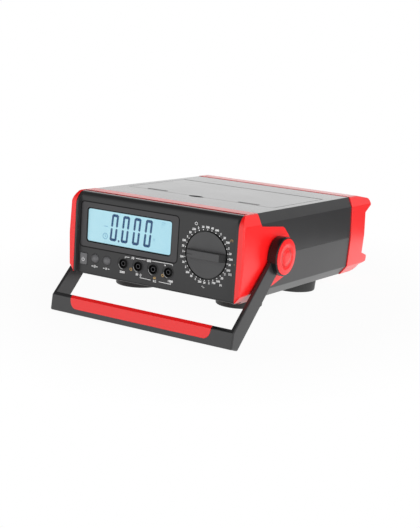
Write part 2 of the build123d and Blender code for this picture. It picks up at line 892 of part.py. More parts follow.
def make_dial_rotor():
    rear = rotor_front + rotor_thickness
    rotor = rod_y(dial_x, dial_height, rotor_radius, rotor_front, rear)
    rotor -= rod_y(dial_x, dial_height, dial_shaft_radius, rotor_front - 1, rear + 1)
    for side in (-1, 1):
        rotor -= rod_x(rotor_middle, dial_height, ball_radius + shaft_clearance, dial_x + side * ball_bore_inner,
                       dial_x + side * (rotor_radius + 1))
    return rotor


def make_dial_wipers():
    wipers = []
    back = rotor_front + rotor_thickness
    half = wiper_width / 2
    for radius in wiper_radii:
        strip = block(-half, half, back, back + wiper_strip, radius - half, radius + half)
        finger = block(-half / 2, half / 2, back + wiper_strip, board_front - 0.3, radius - half / 2, radius + half / 2)
        wipers.append(Pos(dial_x, 0, dial_height) * (strip + finger))
    return wipers


def make_detent_balls():
    reach = detent_crest_radius - ball_clearance - ball_radius
    return [Pos(dial_x + side * reach, rotor_middle, dial_height) * Sphere(ball_radius) for side in (-1, 1)]


def make_detent_ring():
    front = rotor_front - ring_lead
    ring = rod_y(dial_x, dial_height, detent_crest_radius + ring_wall, front, board_front)
    ring -= rod_y(dial_x, dial_height, detent_crest_radius, front - 1, board_front + 1)
    for i in range(detent_count):
        notch = rod_y(detent_crest_radius + notch_offset, 0, notch_radius, front - 1, board_front + 1)
        ring -= Pos(dial_x, 0, dial_height) * Rot(0, 360 / detent_count * i, 0) * notch
    return ring


# ---------------------------------------------------------------- storage compartment
def make_storage_tray():
    outer_half = opening_half_width - tray_rim
    inner_half = outer_half - tray_wall
    front = opening_front + tray_rim
    tray = block(-outer_half, outer_half, front, tray_rear, tray_bottom, tray_top - tray_wall)
    rim_half = opening_half_width + tray_lap
    tray += block(-rim_half, rim_half, opening_front - tray_lap, tray_rear, tray_top - tray_wall, tray_top)
    tray -= block(-inner_half, inner_half, front + tray_wall, tray_rear - tray_wall,
                  tray_bottom + tray_wall, tray_top + 1)
    half = notch_width / 2
    return tray - block(notch_x - half, notch_x + half, opening_front - 0.1, front + tray_wall + 1,
                        tray_top - tray_wall - finger_depth, tray_top + 1)


def make_storage_lid():
    plate = block(-lid_half_width, lid_half_width, lid_front, hinge_setback, lid_bottom, case_height)
    plate += rod_x(hinge_setback, hinge_height, hinge_radius, -lid_half_width, lid_half_width)
    reach = ((notch_width / 2) ** 2 + notch_depth ** 2) / (2 * notch_depth)
    plate -= rod_z(notch_x, lid_front + notch_depth - reach, reach, lid_bottom - 1, case_height + 1)
    for i in range(lid_rib_count):
        x = (i - (lid_rib_count - 1) / 2) * lid_rib_pitch
        plate += block(x - lid_rib_width / 2, x + lid_rib_width / 2, lid_front + lid_rib_front,
                       tray_rear - lid_rib_rear, lid_bottom - lid_rib_depth, lid_bottom)
    bore = hinge_pin_radius + hinge_pin_gap
    inner = lid_half_width - hinge_pin_length - hinge_pin_gap
    return plate - both_sides(rod_x(hinge_setback, hinge_height, bore, inner, lid_half_width + 1))


def make_lid_hinge_pins():
    pin = rod_x(hinge_setback, hinge_height, hinge_pin_radius, lid_half_width - hinge_pin_length,
                opening_half_width + trough_wall - 1)
    return [pin, mirror(pin, about=Plane.YZ)]


# ---------------------------------------------------------------- batteries
def make_battery_box():
    top = wall + 2 * cell_radius + battery_top_room
    half = cells_half_length
    box = block(-half - battery_wall, half + battery_wall, battery_centre - rows_half_width - battery_wall,
                battery_centre + rows_half_width + battery_wall, wall, top + battery_wall)
    return box - block(-half, half, battery_centre - rows_half_width, battery_centre + rows_half_width, 0, top)


def cell_rows():
    offset_y = cell_radius + cell_gap / 2
    return [battery_centre - offset_y, battery_centre + offset_y]


def make_cells():
    cells = []
    for y in cell_rows():
        for i in range(cells_per_row):
            start = (i - cells_per_row / 2) * cell_length
            end = start + cell_length
            body = rod_x(y, cell_height, cell_radius, start + 0.2, end - cell_cap_length)
            cells.append(body + rod_x(y, cell_height, cell_cap_radius, end - cell_cap_length, end))
    return cells


def make_cell_contacts():
    half = cells_half_length
    inner = half - contact_thickness
    low, high = cell_height - contact_half, cell_height + contact_half
    start = -cells_per_row * cell_length / 2
    contacts = []
    for y in cell_rows():
        spring = rod_x(y, cell_height, spring_radius, -inner, start + 0.2)
        spring -= rod_x(y, cell_height, spring_radius - spring_wire, -half, start + 1)
        contacts.append(spring + block(-half, -inner, y - contact_half, y + contact_half, low, high))
        contacts.append(block(inner, half, y - contact_half, y + contact_half, low, high))
    return contacts


def make_battery_door():
    half = cells_half_length
    edge = battery_centre + rows_half_width
    door = block(-half, half, battery_centre - rows_half_width, edge, 0, wall - door_inset)
    door += block(-door_tongue_half, door_tongue_half, edge - 1, door_screw_y + door_tongue_length,
                  0, wall / 2 - door_inset / 3)
    for i in range(grip_rib_count):
        y = edge - 9 - grip_rib_pitch * i
        door -= block(-grip_rib_half, grip_rib_half, y, y + grip_rib_width, -1, grip_rib_depth)
    return door - rod_z(0, door_screw_y, case_screw_radius, -1, wall)


def make_door_screw():
    screw = rod_z(0, door_screw_y, case_screw_radius, 0.0, door_screw_length)
    return screw + rod_z(0, door_screw_y, case_screw_head, -case_screw_radius, 0.0)


# ---------------------------------------------------------------- feet
def make_feet():
    bottom_radius = foot_radius - foot_taper
    feet = []
    for x, y in foot_positions:
        foot = Pos(x, y, -foot_height / 2) * Cone(bottom_radius, foot_radius, foot_height)
        foot = fillet(foot.faces().sort_by(Axis.Z)[0].edges(), foot_edge_radius)
        foot -= rod_z(x, y, foot_recess_radius, -foot_height - 1, -foot_floor)
        tread = rod_z(x, y, bottom_radius - foot_tread_outer, -foot_height - 1, foot_tread_depth - foot_height)
        foot -= tread - rod_z(x, y, bottom_radius - foot_tread_inner, -foot_height - 2, 0)
        feet.append(foot - rod_z(x, y, case_screw_radius, -foot_floor - 1, 1))
    return feet


def make_foot_screws():
    head = -foot_floor - foot_screw_head_height
    return [rod_z(x, y, case_screw_radius, -foot_floor, wall + 3) + rod_z(x, y, foot_screw_head, head, -foot_floor)
            for x, y in foot_positions]


# ---------------------------------------------------------------- handle
def arm_outline():
    """Side view of one arm in the handle plane, its pivot at the origin and the bar at -x."""
    points = [(0, arm_upper), (-bar_top_reach, bar_upper), (-bar_nose_reach, bar_nose_side),
              (-bar_heel_reach, -bar_lower), (0, -arm_lower)]
    outline = face_of(points)
    corners = [v for v in outline.vertices() if v.X < -50]
    return fillet(corners, bar_corner_radius)


def bar_outline():
    points = [(-bar_inner_reach, bar_upper), (-bar_top_reach, bar_upper), (-bar_nose_reach, bar_nose_side),
              (-bar_heel_reach, -bar_lower), (-bar_inner_reach, -bar_lower)]
    outline = face_of(points)
    corners = [v for v in outline.vertices() if v.X < -bar_inner_reach - 1]
    return fillet(corners, bar_corner_radius)


def inlay_outline():
    """Section of the grip inlay: it laps the bar's upper face and the upper part of its front face."""
    du = bar_nose_reach - bar_top_reach
    dv = bar_upper - bar_nose_side
    length = math.hypot(du, dv)
    out_u, out_v = dv / length, du / length
    end_u = bar_top_reach + du * inlay_share
    end_v = bar_upper - dv * inlay_share
    p, d = inlay_proud, inlay_depth
    tip = (1 - out_v) / out_u
    outer = [(-bar_inner_reach - 0.01, bar_upper + p), (-bar_top_reach - p * tip, bar_upper + p),
             (-end_u - p * out_u, end_v + p * out_v)]
    inner = [(-end_u + d * out_u, end_v - d * out_v), (-bar_top_reach + d * tip, bar_upper - d),
             (-bar_inner_reach - 0.01, bar_upper - d)]
    return face_of(outer + inner)


def inlay_end_cut():
    """Seen from above, the inlay narrows below its upper edge in a quarter round at each end."""
    top = inlay_half_length
    low = top - inlay_end_slope
    rear = -bar_inner_reach + 1
    front = -bar_top_reach
    tip = front - (bar_nose_reach - bar_top_reach) * inlay_share - 0.6
    right = Line((top, rear), (top, front)) + Spline((top, front), (low, tip), tangents=((0, -1), (-1, 0)))
    left = Line((-top, rear), (-top, front)) + Spline((-top, front), (-low, tip), tangents=((0, -1), (1, 0)))
    outline = make_face(right + left + Line((-top, rear), (top, rear)) + Line((-low, tip), (low, tip)))
    return Pos(0, 0, -bar_lower) * extrude(outline, amount=2 * bar_upper + bar_lower)


def inlay_solid():
    return along_x(inlay_outline(), -inlay_half_length - 1, inlay_half_length + 1) & inlay_end_cut()


def hub_solid():
    hub = rod_x(0, 0, hub_radius, hub_inner, hub_outer)
    hub = chamfer(hub.faces().sort_by(Axis.X)[-1].edges(), hub_chamfer)
    seat = hub_outer - cap_inset
    hub -= rod_x(0, 0, cap_radius, seat, hub_outer + 1)
    hub -= rod_x(0, 0, screw_head_radius + 0.5, seat - screw_well_depth + screw_head_gap, hub_outer)
    return hub - rod_x(0, 0, screw_shank_radius + shaft_clearance, hub_inner - 1, hub_outer)


def in_handle_pose(shape):
    return Pos(0, pivot_y, pivot_height) * Rot(handle_drop, 0, 0) * shape


def make_handle_frame():
    arm = along_x(arm_outline(), arm_inner, arm_outer) - rod_x(0, 0, hub_radius, arm_inner - 1, arm_outer + 1)
    bar = along_x(bar_outline(), -arm_outer, arm_outer)
    frame = both_sides(arm) + bar
    ends = [e for e in frame.edges() if abs(abs(e.center().X) - arm_outer) < 0.01
            and e.center().Y < -bar_top_reach - bar_corner_radius and e.length > 2 * bar_corner_radius]
    frame = fillet(ends, bar_end_radius)
    return in_handle_pose(frame - inlay_solid())


def make_handle_grip():
    return in_handle_pose(inlay_solid())


def make_handle_hubs():
    hub = in_handle_pose(hub_solid())
    return [hub, mirror(hub, about=Plane.YZ)]


def make_hub_caps():
    seat = hub_outer - cap_inset
    edge = hub_outer + cap_edge
    crest = hub_outer + cap_dome
    radius = cap_radius - cap_fit
    dome = RadiusArc((edge, radius), (crest, 0), (radius ** 2 + (crest - edge) ** 2) / (2 * (crest - edge)))
    profile = make_face(Polyline((crest, 0), (seat, 0), (seat, radius), (edge, radius)) + dome)
    cap = Pos(0, pivot_y, pivot_height) * revolve(profile, axis=Axis.X)
    groove = rod_x(pivot_y, pivot_height, cap_ring_radius, crest - cap_ring_depth, crest + 1)
    cap -= groove - rod_x(pivot_y, pivot_height, cap_ring_radius - cap_ring_width, hub_outer, crest + 2)
    return [cap, mirror(cap, about=Plane.YZ)]


def make_pivot_bushes():
    inner = skirt_half_width - wall - bush_reach
    bush = rod_x(pivot_y, pivot_height, bush_radius, inner, bumper_half_width + 0.1)
    bush += rod_x(pivot_y, pivot_height, bush_radius + bush_flange, inner, waist_half_width - wall - 0.7)
    bush -= rod_x(pivot_y, pivot_height, screw_shank_radius, inner - 1, bumper_half_width + 1)
    return [bush, mirror(bush, about=Plane.YZ)]


def make_pivot_screws():
    inner = skirt_half_width - wall - bush_reach + 1
    screw = rod_x(pivot_y, pivot_height, screw_shank_radius, inner, pivot_screw_inner)
    screw += rod_x(pivot_y, pivot_height, screw_head_radius, pivot_screw_inner, pivot_screw_outer)
    screw -= block(pivot_screw_outer - 1, pivot_screw_outer + 1, pivot_y - 5, pivot_y + 5,
                   pivot_height - 0.6, pivot_height + 0.6)
    return [screw, mirror(screw, about=Plane.YZ)]


def make_spring_washers():
    inner = hub_outer - cap_inset - screw_well_depth + screw_head_gap + 0.05
    washer = rod_x(pivot_y, pivot_height, screw_head_radius - 0.3, inner, pivot_screw_inner)
    washer -= rod_x(pivot_y, pivot_height, screw_shank_radius, inner - 1, pivot_screw_inner + 1)
    return [washer, mirror(washer, about=Plane.YZ)]


# ---------------------------------------------------------------- rear panel and mains parts
def inlet_block(width, height, y0, y1, z=inlet_height):
    return block(inlet_x - width / 2, inlet_x + width / 2, y0, y1, z - height / 2, z + height / 2)


def make_rear_panel():
    front, rear = rear_panel_front - 1, rear_panel_rear + 1
    panel = along_y(rear_bumper_opening(panel_gap), rear_panel_front, rear_panel_rear)
    panel -= inlet_block(inlet_width, inlet_tall, front, rear)
    for i in range(vent_count):
        slot = rounded(vent_width, vent_tall, vent_width / 2 - 0.05, vent_left + i * vent_pitch, inlet_height)
        panel -= along_y(slot, front, rear)
    return panel


def make_mains_inlet():
    front = rear_panel_rear - socket_depth - inlet_back
    body = inlet_block(inlet_width, inlet_tall, front, rear_panel_rear)
    flange = rounded(inlet_width + 2 * inlet_flange, inlet_tall + 2 * inlet_flange, 3, inlet_x, inlet_height)
    body += along_y(flange, rear_panel_rear, inlet_face)
    mouth = rounded(socket_width, socket_tall, 2.5, inlet_x, socket_height)
    body -= along_y(mouth, inlet_face - socket_depth, inlet_face + 1)
    body -= inlet_block(drawer_width + 2 * drawer_gap, drawer_tall + 2 * drawer_gap,
                        drawer_front - 0.4, inlet_face + 1, drawer_height)
    return body - union(make_inlet_pins())


def make_inlet_pins():
    floor = inlet_face - socket_depth
    return [block(inlet_x + x - pin_width / 2, inlet_x + x + pin_width / 2, floor - pin_tail, floor + pin_length,
                  socket_height + rise - pin_tall / 2, socket_height + rise + pin_tall / 2)
            for x, rise in pin_places]


def make_fuse_drawer():
    drawer = inlet_block(drawer_width, drawer_tall, drawer_front, inlet_face + 0.4, drawer_height)
    bay_front = drawer_front + drawer_wall
    floor = drawer_height - mains_fuse_radius
    drawer -= block(inlet_x - drawer_width / 2 + 0.4, inlet_x + drawer_width / 2 - 0.4, bay_front,
                    bay_front + drawer_tray_length, floor, floor + drawer_tall)
    return drawer - inlet_block(6.0, 2.0, inlet_face - 0.6, inlet_face + 1, drawer_height)


def make_mains_fuse():
    y = drawer_front + drawer_wall + drawer_tray_length / 2
    half = mains_fuse_length / 2
    return rod_x(y, drawer_height, mains_fuse_radius, inlet_x - half, inlet_x + half)


def power_post_places():
    rear = power_board_rear - power_post_inset
    front = power_board_rear - power_board_length + power_post_inset
    left = power_board_left + power_post_inset
    right = power_board_right - power_post_inset
    return [(x, y) for y in (front, rear) for x in (left, right)]


def make_power_board():
    return block(power_board_left, power_board_right, power_board_rear - power_board_length, power_board_rear,
                 power_board_height, power_board_height + board_thickness)


def make_power_parts():
    top = power_board_height + board_thickness
    y = power_board_rear - power_board_length / 2
    edge = power_board_right - power_post_inset
    small_x = edge - power_post_inset - small_capacitor_radius - power_post_radius
    large_x = small_x - small_capacitor_radius - capacitor_radius * 2
    sink_x = large_x - capacitor_radius - heat_sink_width
    relay_x = sink_x - heat_sink_width - relay_width
    return [
        rod_z(large_x, y, capacitor_radius, top, top + capacitor_height),
        rod_z(small_x, y, small_capacitor_radius, top, top + small_capacitor_height),
        block(sink_x, sink_x + heat_sink_width, y - heat_sink_thickness, y, top, top + heat_sink_height),
        block(relay_x, relay_x + relay_width, y - relay_width / 2, y + relay_width / 2, top, top + relay_height),
    ]


def transformer_y():
    rear = shell_rear - transformer_inset
    return rear - transformer_stack, rear


def make_transformer_core():
    half = transformer_width / 2
    y0, y1 = transformer_y()
    core = block(transformer_x - half, transformer_x + half, y0, y1, wall, wall + transformer_height)
    for side in (-1, 1):
        low, high = sorted((side * transformer_limb, side * 2 * transformer_limb))
        core -= block(transformer_x + low, transformer_x + high, y0 - 1, y1 + 1,
                      wall + transformer_limb, wall + transformer_height - transformer_limb)
    return core


def make_transformer_coil():
    y0, y1 = transformer_y()
    reach = 2 * transformer_limb
    low, high = wall + transformer_limb, wall + transformer_height - transformer_limb
    coil = block(transformer_x - reach, transformer_x + reach, y0 - coil_overhang, y1 + coil_overhang, low, high)
    return coil - block(transformer_x - transformer_limb, transformer_x + transformer_limb, y0, y1,
                        low - 1, high + 1)


# ---------------------------------------------------------------- stand and export
def in_handle_frame(u, v):
    """Body-frame y and z of a point given in the handle plane."""
    angle = math.radians(handle_drop)
    y = pivot_y - u * math.cos(angle) - v * math.sin(angle)
    z = pivot_height - u * math.sin(angle) + v * math.cos(angle)
    return y, z


def heel_centre():
    """Centre of the rounded lower corner of the handle bar, in the handle plane."""
    lower = (1.0, 0.0)
    du, dv = bar_nose_reach - bar_heel_reach, bar_nose_side + bar_lower
    length = math.hypot(du, dv)
    slant = (du / length, dv / length)
    bisector = (slant[0] - lower[0], slant[1] - lower[1])
    size = math.hypot(*bisector)
    half = math.acos((-lower[0] * slant[0] - lower[1] * slant[1])) / 2
    reach = bar_corner_radius / math.sin(half)
    return bar_heel_reach + bisector[0] / size * reach, -bar_lower + bisector[1] / size * reach


def stand_tilt():
    """Angle that brings the bar's heel and the rear feet's back edges onto one plane."""
    bar_y, bar_z = in_handle_frame(*heel_centre())
    foot_y = rear_foot_y + foot_radius - foot_taper - foot_edge_radius
    foot_z = -foot_height + foot_edge_radius
    rise = math.atan2(foot_z - bar_z, foot_y - bar_y)
    span = math.hypot(foot_z - bar_z, foot_y - bar_y)
    return rise - math.asin((foot_edge_radius - bar_corner_radius) / span), bar_y, bar_z


tilt, heel_y, heel_z = stand_tilt()
floor_height = heel_z * math.cos(tilt) - heel_y * math.sin(tilt) - bar_corner_radius


def make_all():
    return {
        "case_top": make_case_top(), "case_bottom": make_case_bottom(), "case_screws": make_case_screws(),
        "front_bumper": make_front_bumper(), "rear_bumper": make_rear_bumper(),
        "front_panel": make_front_panel(), "display_bezel": make_display_bezel(),
        "display_window": make_display_window(), "lcd_glass": make_lcd_glass(),
        "lcd_backlight": make_lcd_backlight(), "lcd_frame": make_lcd_frame(),
        "main_board": make_main_board(), "board_screws": make_board_screws(), "board_parts": make_board_parts(),
        "jack_sleeves": make_jack_sleeves(), "jack_contacts": make_jack_contacts(),
        "input_fuses": make_input_fuses(), "fuse_clips": make_fuse_clips(),
        "button_switches": make_button_switches(), "power_switch": make_power_switch(),
        "power_button": make_power_button(), "power_plunger": make_power_plunger(),
        "light_button": push_button(light_x), "hold_button": push_button(hold_x),
        "dial_knob": make_dial_knob(), "dial_shaft": make_dial_shaft(), "dial_bush": make_dial_bush(),
        "dial_rotor": make_dial_rotor(), "dial_wipers": make_dial_wipers(),
        "detent_balls": make_detent_balls(), "detent_ring": make_detent_ring(),
        "storage_tray": make_storage_tray(), "storage_lid": make_storage_lid(),
        "lid_hinge_pins": make_lid_hinge_pins(),
        "battery_box": make_battery_box(), "battery_cells": make_cells(), "cell_contacts": make_cell_contacts(),
        "battery_door": make_battery_door(), "door_screw": make_door_screw(),
        "feet": make_feet(), "foot_screws": make_foot_screws(),
        "handle_frame": make_handle_frame(), "handle_grip": make_handle_grip(),
        "handle_hubs": make_handle_hubs(), "hub_caps": make_hub_caps(),
        "pivot_bushes": make_pivot_bushes(), "pivot_screws": make_pivot_screws(),
        "spring_washers": make_spring_washers(),
        "rear_panel": make_rear_panel(), "mains_inlet": make_mains_inlet(), "inlet_pins": make_inlet_pins(),
        "fuse_drawer": make_fuse_drawer(), "mains_fuse": make_mains_fuse(),
        "power_board": make_power_board(), "power_parts": make_power_parts(),
        "transformer_core": make_transformer_core(), "transformer_coil": make_transformer_coil(),
    }


def main():
    os.makedirs("parts", exist_ok=True)
    stand = Pos(0, 0, -floor_height) * Rot(-math.degrees(tilt), 0, 0)
    placed = {}
    for name, made in make_all().items():
        solids = made if isinstance(made, list) else [made]
        placed[name] = [stand * solid for solid in solids]
    ends = [s for name in ("handle_frame", "rear_bumper") for s in placed[name]]
    boxes = [s.bounding_box() for s in ends]
    middle = (min(b.min.Y for b in boxes) + max(b.max.Y for b in boxes)) / 2
    for name, solids in placed.items():
        moved = [Pos(0, -middle, 0) * solid for solid in solids]
        shape = moved[0] if len(moved) == 1 else Compound(children=moved)
        export_step(shape, "parts/" + name + ".step")
    print("tilt", round(math.degrees(tilt), 3), "middle", round(middle, 3), "floor", round(floor_height, 3))


main()
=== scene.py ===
import json
import math
import bpy
import bmesh
from mathutils import Matrix, Vector

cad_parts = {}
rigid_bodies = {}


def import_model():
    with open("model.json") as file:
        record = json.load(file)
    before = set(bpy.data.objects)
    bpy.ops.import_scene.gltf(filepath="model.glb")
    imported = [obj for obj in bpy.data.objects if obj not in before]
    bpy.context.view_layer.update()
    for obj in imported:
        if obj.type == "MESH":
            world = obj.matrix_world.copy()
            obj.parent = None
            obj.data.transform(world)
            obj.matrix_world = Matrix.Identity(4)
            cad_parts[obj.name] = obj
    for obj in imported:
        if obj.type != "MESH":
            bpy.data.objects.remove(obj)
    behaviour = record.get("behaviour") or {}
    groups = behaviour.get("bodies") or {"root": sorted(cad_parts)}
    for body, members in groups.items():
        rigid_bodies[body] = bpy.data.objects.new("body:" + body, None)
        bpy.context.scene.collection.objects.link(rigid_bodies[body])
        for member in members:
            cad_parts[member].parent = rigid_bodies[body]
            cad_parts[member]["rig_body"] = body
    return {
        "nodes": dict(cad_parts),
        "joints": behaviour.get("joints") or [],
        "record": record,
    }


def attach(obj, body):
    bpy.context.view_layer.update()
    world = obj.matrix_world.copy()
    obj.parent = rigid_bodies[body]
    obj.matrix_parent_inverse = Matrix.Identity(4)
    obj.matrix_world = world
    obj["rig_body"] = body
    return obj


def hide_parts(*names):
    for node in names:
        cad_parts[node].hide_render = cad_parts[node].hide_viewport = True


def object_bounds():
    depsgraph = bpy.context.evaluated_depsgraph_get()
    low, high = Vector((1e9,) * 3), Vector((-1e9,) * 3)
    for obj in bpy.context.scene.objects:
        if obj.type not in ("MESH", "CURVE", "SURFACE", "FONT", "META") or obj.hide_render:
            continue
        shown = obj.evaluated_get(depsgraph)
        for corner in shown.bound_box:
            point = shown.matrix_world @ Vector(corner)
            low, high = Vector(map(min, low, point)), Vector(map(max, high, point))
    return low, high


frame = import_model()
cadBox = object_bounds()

print("frame loaded:", len(frame["nodes"]), "nodes")

# The case leans back on its stand. Its own axes and origin come from the dial's shaft,
# which stands square to the front panel.
caseSizes = {
    "dialX": 62.7,          # mm right of the middle of the case
    "dialHeight": 45.1,     # mm above the bottom of the case
}
dialJoint = next(j for j in frame["joints"] if j["name"] == "dial_turn")
caseRight = Vector((1, 0, 0))
caseBack = -Vector(dialJoint["axis"]).normalized()
caseUp = caseRight.cross(caseBack)
mm = 0.001
caseOrigin = Vector(dialJoint["pos_m"]) - (caseSizes["dialX"] * caseRight + caseSizes["dialHeight"] * caseUp) * mm
caseAxes = Matrix((caseRight, caseBack, caseUp)).transposed()
caseToBench = Matrix.Translation(caseOrigin) @ caseAxes.to_4x4() @ Matrix.Scale(mm, 4)
leanAngle = math.atan2(caseUp.y, caseUp.z)

scene = bpy.context.scene
scene.view_settings.view_transform = "Standard"


def placeCamera():
    camera = {
        "azimuth": 32.803,      # degrees to the right of the front
        "elevation": 16.816,    # degrees above the horizon
        "distance": 1.31689,    # metres from the aim point
        "aimFromDial": (-0.070134, 0.116057, -0.050091),
        "lens": 80.225,
    }
    data = bpy.data.cameras.new("studioCamera")
    data.lens = camera["lens"]
    data.sensor_width = 36
    data.clip_start, data.clip_end = 0.05, 20
    holder = bpy.data.objects.new("studioCamera", data)
    scene.collection.objects.link(holder)
    a, e = math.radians(camera["azimuth"]), math.radians(camera["elevation"])
    back = Vector((math.sin(a) * math.cos(e), -math.cos(a) * math.cos(e), math.sin(e)))
    aim = Vector(dialJoint["pos_m"]) + Vector(camera["aimFromDial"])
    holder.location = aim + back * camera["distance"]
    holder.rotation_mode = "QUATERNION"
    holder.rotation_quaternion = (-back).to_track_quat("-Z", "Y")
    scene.camera = holder


placeCamera()
print("camera placed")


def tint(red, green, blue):
    def linear(level):
        share = level / 255
        return share / 12.92 if share <= 0.04045 else ((share + 0.055) / 1.055) ** 2.4
    return (linear(red), linear(green), linear(blue), 1.0)


def shaded(colour, share):
    return (colour[0] * share, colour[1] * share, colour[2] * share, 1.0)


def newMaterial(name):
    material = bpy.data.materials.new(name)
    material.use_nodes = True
    return material, material.node_tree.nodes, material.node_tree.links


def objectCoords(nodes, links, leaned=False):
    place = nodes.new("ShaderNodeTexCoord")
    if not leaned:
        return place.outputs["Object"]
    turn = nodes.new("ShaderNodeMapping")
    turn.vector_type = "TEXTURE"
    turn.inputs["Location"].default_value = caseOrigin
    turn.inputs["Rotation"].default_value = (-leanAngle, 0, 0)
    links.new(place.outputs["Object"], turn.inputs["Vector"])
    return turn.outputs["Vector"]


def noise(nodes, links, vector, size, detail=2.0, roughness=0.5):
    grain = nodes.new("ShaderNodeTexNoise")
    grain.inputs["Scale"].default_value = 1 / (size * mm)
    grain.inputs["Detail"].default_value = detail
    grain.inputs["Roughness"].default_value = roughness
    links.new(vector, grain.inputs["Vector"])
    return grain.outputs["Fac"]


def between(nodes, links, value, low, high, toLow, toHigh):
    remap = nodes.new("ShaderNodeMapRange")
    for socket, number in (("From Min", low), ("From Max", high), ("To Min", toLow), ("To Max", toHigh)):
        remap.inputs[socket].default_value = number
    links.new(value, remap.inputs["Value"])
    return remap.outputs["Result"]


def combine(nodes, links, operation, first, second):
    # A Math node; each side is a socket or a plain number
    joined = nodes.new("ShaderNodeMath")
    joined.operation = operation
    for socket, value in zip(joined.inputs, (first, second)):
        if isinstance(value, (int, float)):
            socket.default_value = value
        else:
            links.new(value, socket)
    return joined.outputs[0]


def blendColours(nodes, links, share, first, second):
    mix = nodes.new("ShaderNodeMix")
    mix.data_type = "RGBA"
    mix.inputs[6].default_value = first
    mix.inputs[7].default_value = second
    links.new(share, mix.inputs[0])
    return mix.outputs[2]


def bump(nodes, links, height, strength, depth):
    relief = nodes.new("ShaderNodeBump")
    relief.inputs["Strength"].default_value = strength
    relief.inputs["Distance"].default_value = depth * mm
    links.new(height, relief.inputs["Height"])
    return relief.outputs["Normal"]


def mouldedPlastic(name, look):
    # Spark-eroded tool grain, slow drift in tone and sheen as thick mouldings have
    look = {
        "drift": 26, "spread": 0.06,                        # mm over which the tone drifts, and how far
        "sheen": 60, "sheenSpread": 0.015,                  # the same for the roughness
        "grainDeep": 0.25,                                  # depth of the grain as a share of its size
        "ior": 1.5, "coat": 0.0, "coatRoughness": 0.2,
        **look}
    material, nodes, links = newMaterial(name)
    shader = nodes["Principled BSDF"]
    vector = objectCoords(nodes, links)
    colour, spread, rough, sheenSpread = look["colour"], look["spread"], look["roughness"], look["sheenSpread"]
    tone = between(nodes, links, noise(nodes, links, vector, look["drift"], 3), 0.35, 0.65, 0, 1)
    links.new(blendColours(nodes, links, tone, shaded(colour, 1 - spread), shaded(colour, 1 + spread)),
              shader.inputs["Base Color"])
    grain = noise(nodes, links, vector, look["grain"], 3, 0.6)
    sheen = noise(nodes, links, vector, look["sheen"], 1)
    links.new(between(nodes, links, sheen, 0.3, 0.7, rough - sheenSpread, rough + sheenSpread),
              shader.inputs["Roughness"])
    links.new(bump(nodes, links, grain, look["relief"], look["grain"] * look["grainDeep"]),
              shader.inputs["Normal"])
    shader.inputs["IOR"].default_value = look["ior"]
    shader.inputs["Coat Weight"].default_value = look["coat"]
    shader.inputs["Coat Roughness"].default_value = look["coatRoughness"]
    return material


def metal(name, look):
    # Plated or turned metal: fine stretched grain and a slow change of tone
    look = {"toneSize": 3.0, "dim": 0.86, "grain": 0.25, "sheenSpread": 0.06, "relief": 0.15, "deep": 0.03, **look}
    material, nodes, links = newMaterial(name)
    shader = nodes["Principled BSDF"]
    vector = objectCoords(nodes, links)
    colour, rough, sheenSpread = look["colour"], look["roughness"], look["sheenSpread"]
    tone = between(nodes, links, noise(nodes, links, vector, look["toneSize"], 3), 0.3, 0.7, 0, 1)
    links.new(blendColours(nodes, links, tone, shaded(colour, look["dim"]), colour), shader.inputs["Base Color"])
    fine = noise(nodes, links, vector, look["grain"], 4, 0.7)
    links.new(between(nodes, links, fine, 0.3, 0.7, rough - sheenSpread, rough + sheenSpread),
              shader.inputs["Roughness"])
    links.new(bump(nodes, links, fine, look["relief"], look["deep"]), shader.inputs["Normal"])
    shader.inputs["Metallic"].default_value = 1.0
    return material


def clearGlass(name, look):
    look = {"hazeSize": 14, "dim": 0.97, **look}
    material, nodes, links = newMaterial(name)
    shader = nodes["Principled BSDF"]
    haze = noise(nodes, links, objectCoords(nodes, links), look["hazeSize"], 2)
    links.new(blendColours(nodes, links, haze, look["colour"], shaded(look["colour"], look["dim"])),
              shader.inputs["Base Color"])
    links.new(between(nodes, links, haze, 0.3, 0.7, 0.0, look["haze"]), shader.inputs["Roughness"])
    shader.inputs["Transmission Weight"].default_value = 1.0
    shader.inputs["IOR"].default_value = look["ior"]
    return material


def litDisplay(name, look):
    # Liquid crystal glass over its backlight: brighter towards the left, where the lamp stands
    look = {"cloudSize": 20, "cloud": 0.12, "dim": 0.95, "roughness": 0.5, **look}
    material, nodes, links = newMaterial(name)
    shader = nodes["Principled BSDF"]
    vector = objectCoords(nodes, links, leaned=True)
    split = nodes.new("ShaderNodeSeparateXYZ")
    links.new(vector, split.inputs[0])
    across = between(nodes, links, split.outputs["X"], look["left"] * mm, look["right"] * mm, 0, 1)
    cloud = noise(nodes, links, vector, look["cloudSize"], 2)
    sweep = combine(nodes, links, "ADD", across,
                    between(nodes, links, cloud, 0.3, 0.7, -look["cloud"], look["cloud"]))
    links.new(blendColours(nodes, links, sweep, look["near"], look["far"]), shader.inputs["Emission Color"])
    shader.inputs["Emission Strength"].default_value = look["strength"]
    links.new(blendColours(nodes, links, cloud, look["unlit"], shaded(look["unlit"], look["dim"])),
              shader.inputs["Base Color"])
    shader.inputs["Roughness"].default_value = look["roughness"]
    return material


# Print on the panel and the display; also the painted highlights on the jack rims
def inkAndPaintedHighlight(name, colour, glow=0.0):
    ink = {"fleck": 0.5, "dim": 0.94, "roughness": 0.55}
    material, nodes, links = newMaterial(name)
    shader = nodes["Principled BSDF"]
    if glow:
        shader.inputs["Emission Color"].default_value = colour
        shader.inputs["Emission Strength"].default_value = glow
    fleck = noise(nodes, links, objectCoords(nodes, links), ink["fleck"], 2)
    links.new(blendColours(nodes, links, fleck, shaded(colour, ink["dim"]), colour), shader.inputs["Base Color"])
    shader.inputs["Roughness"].default_value = ink["roughness"]
    return material


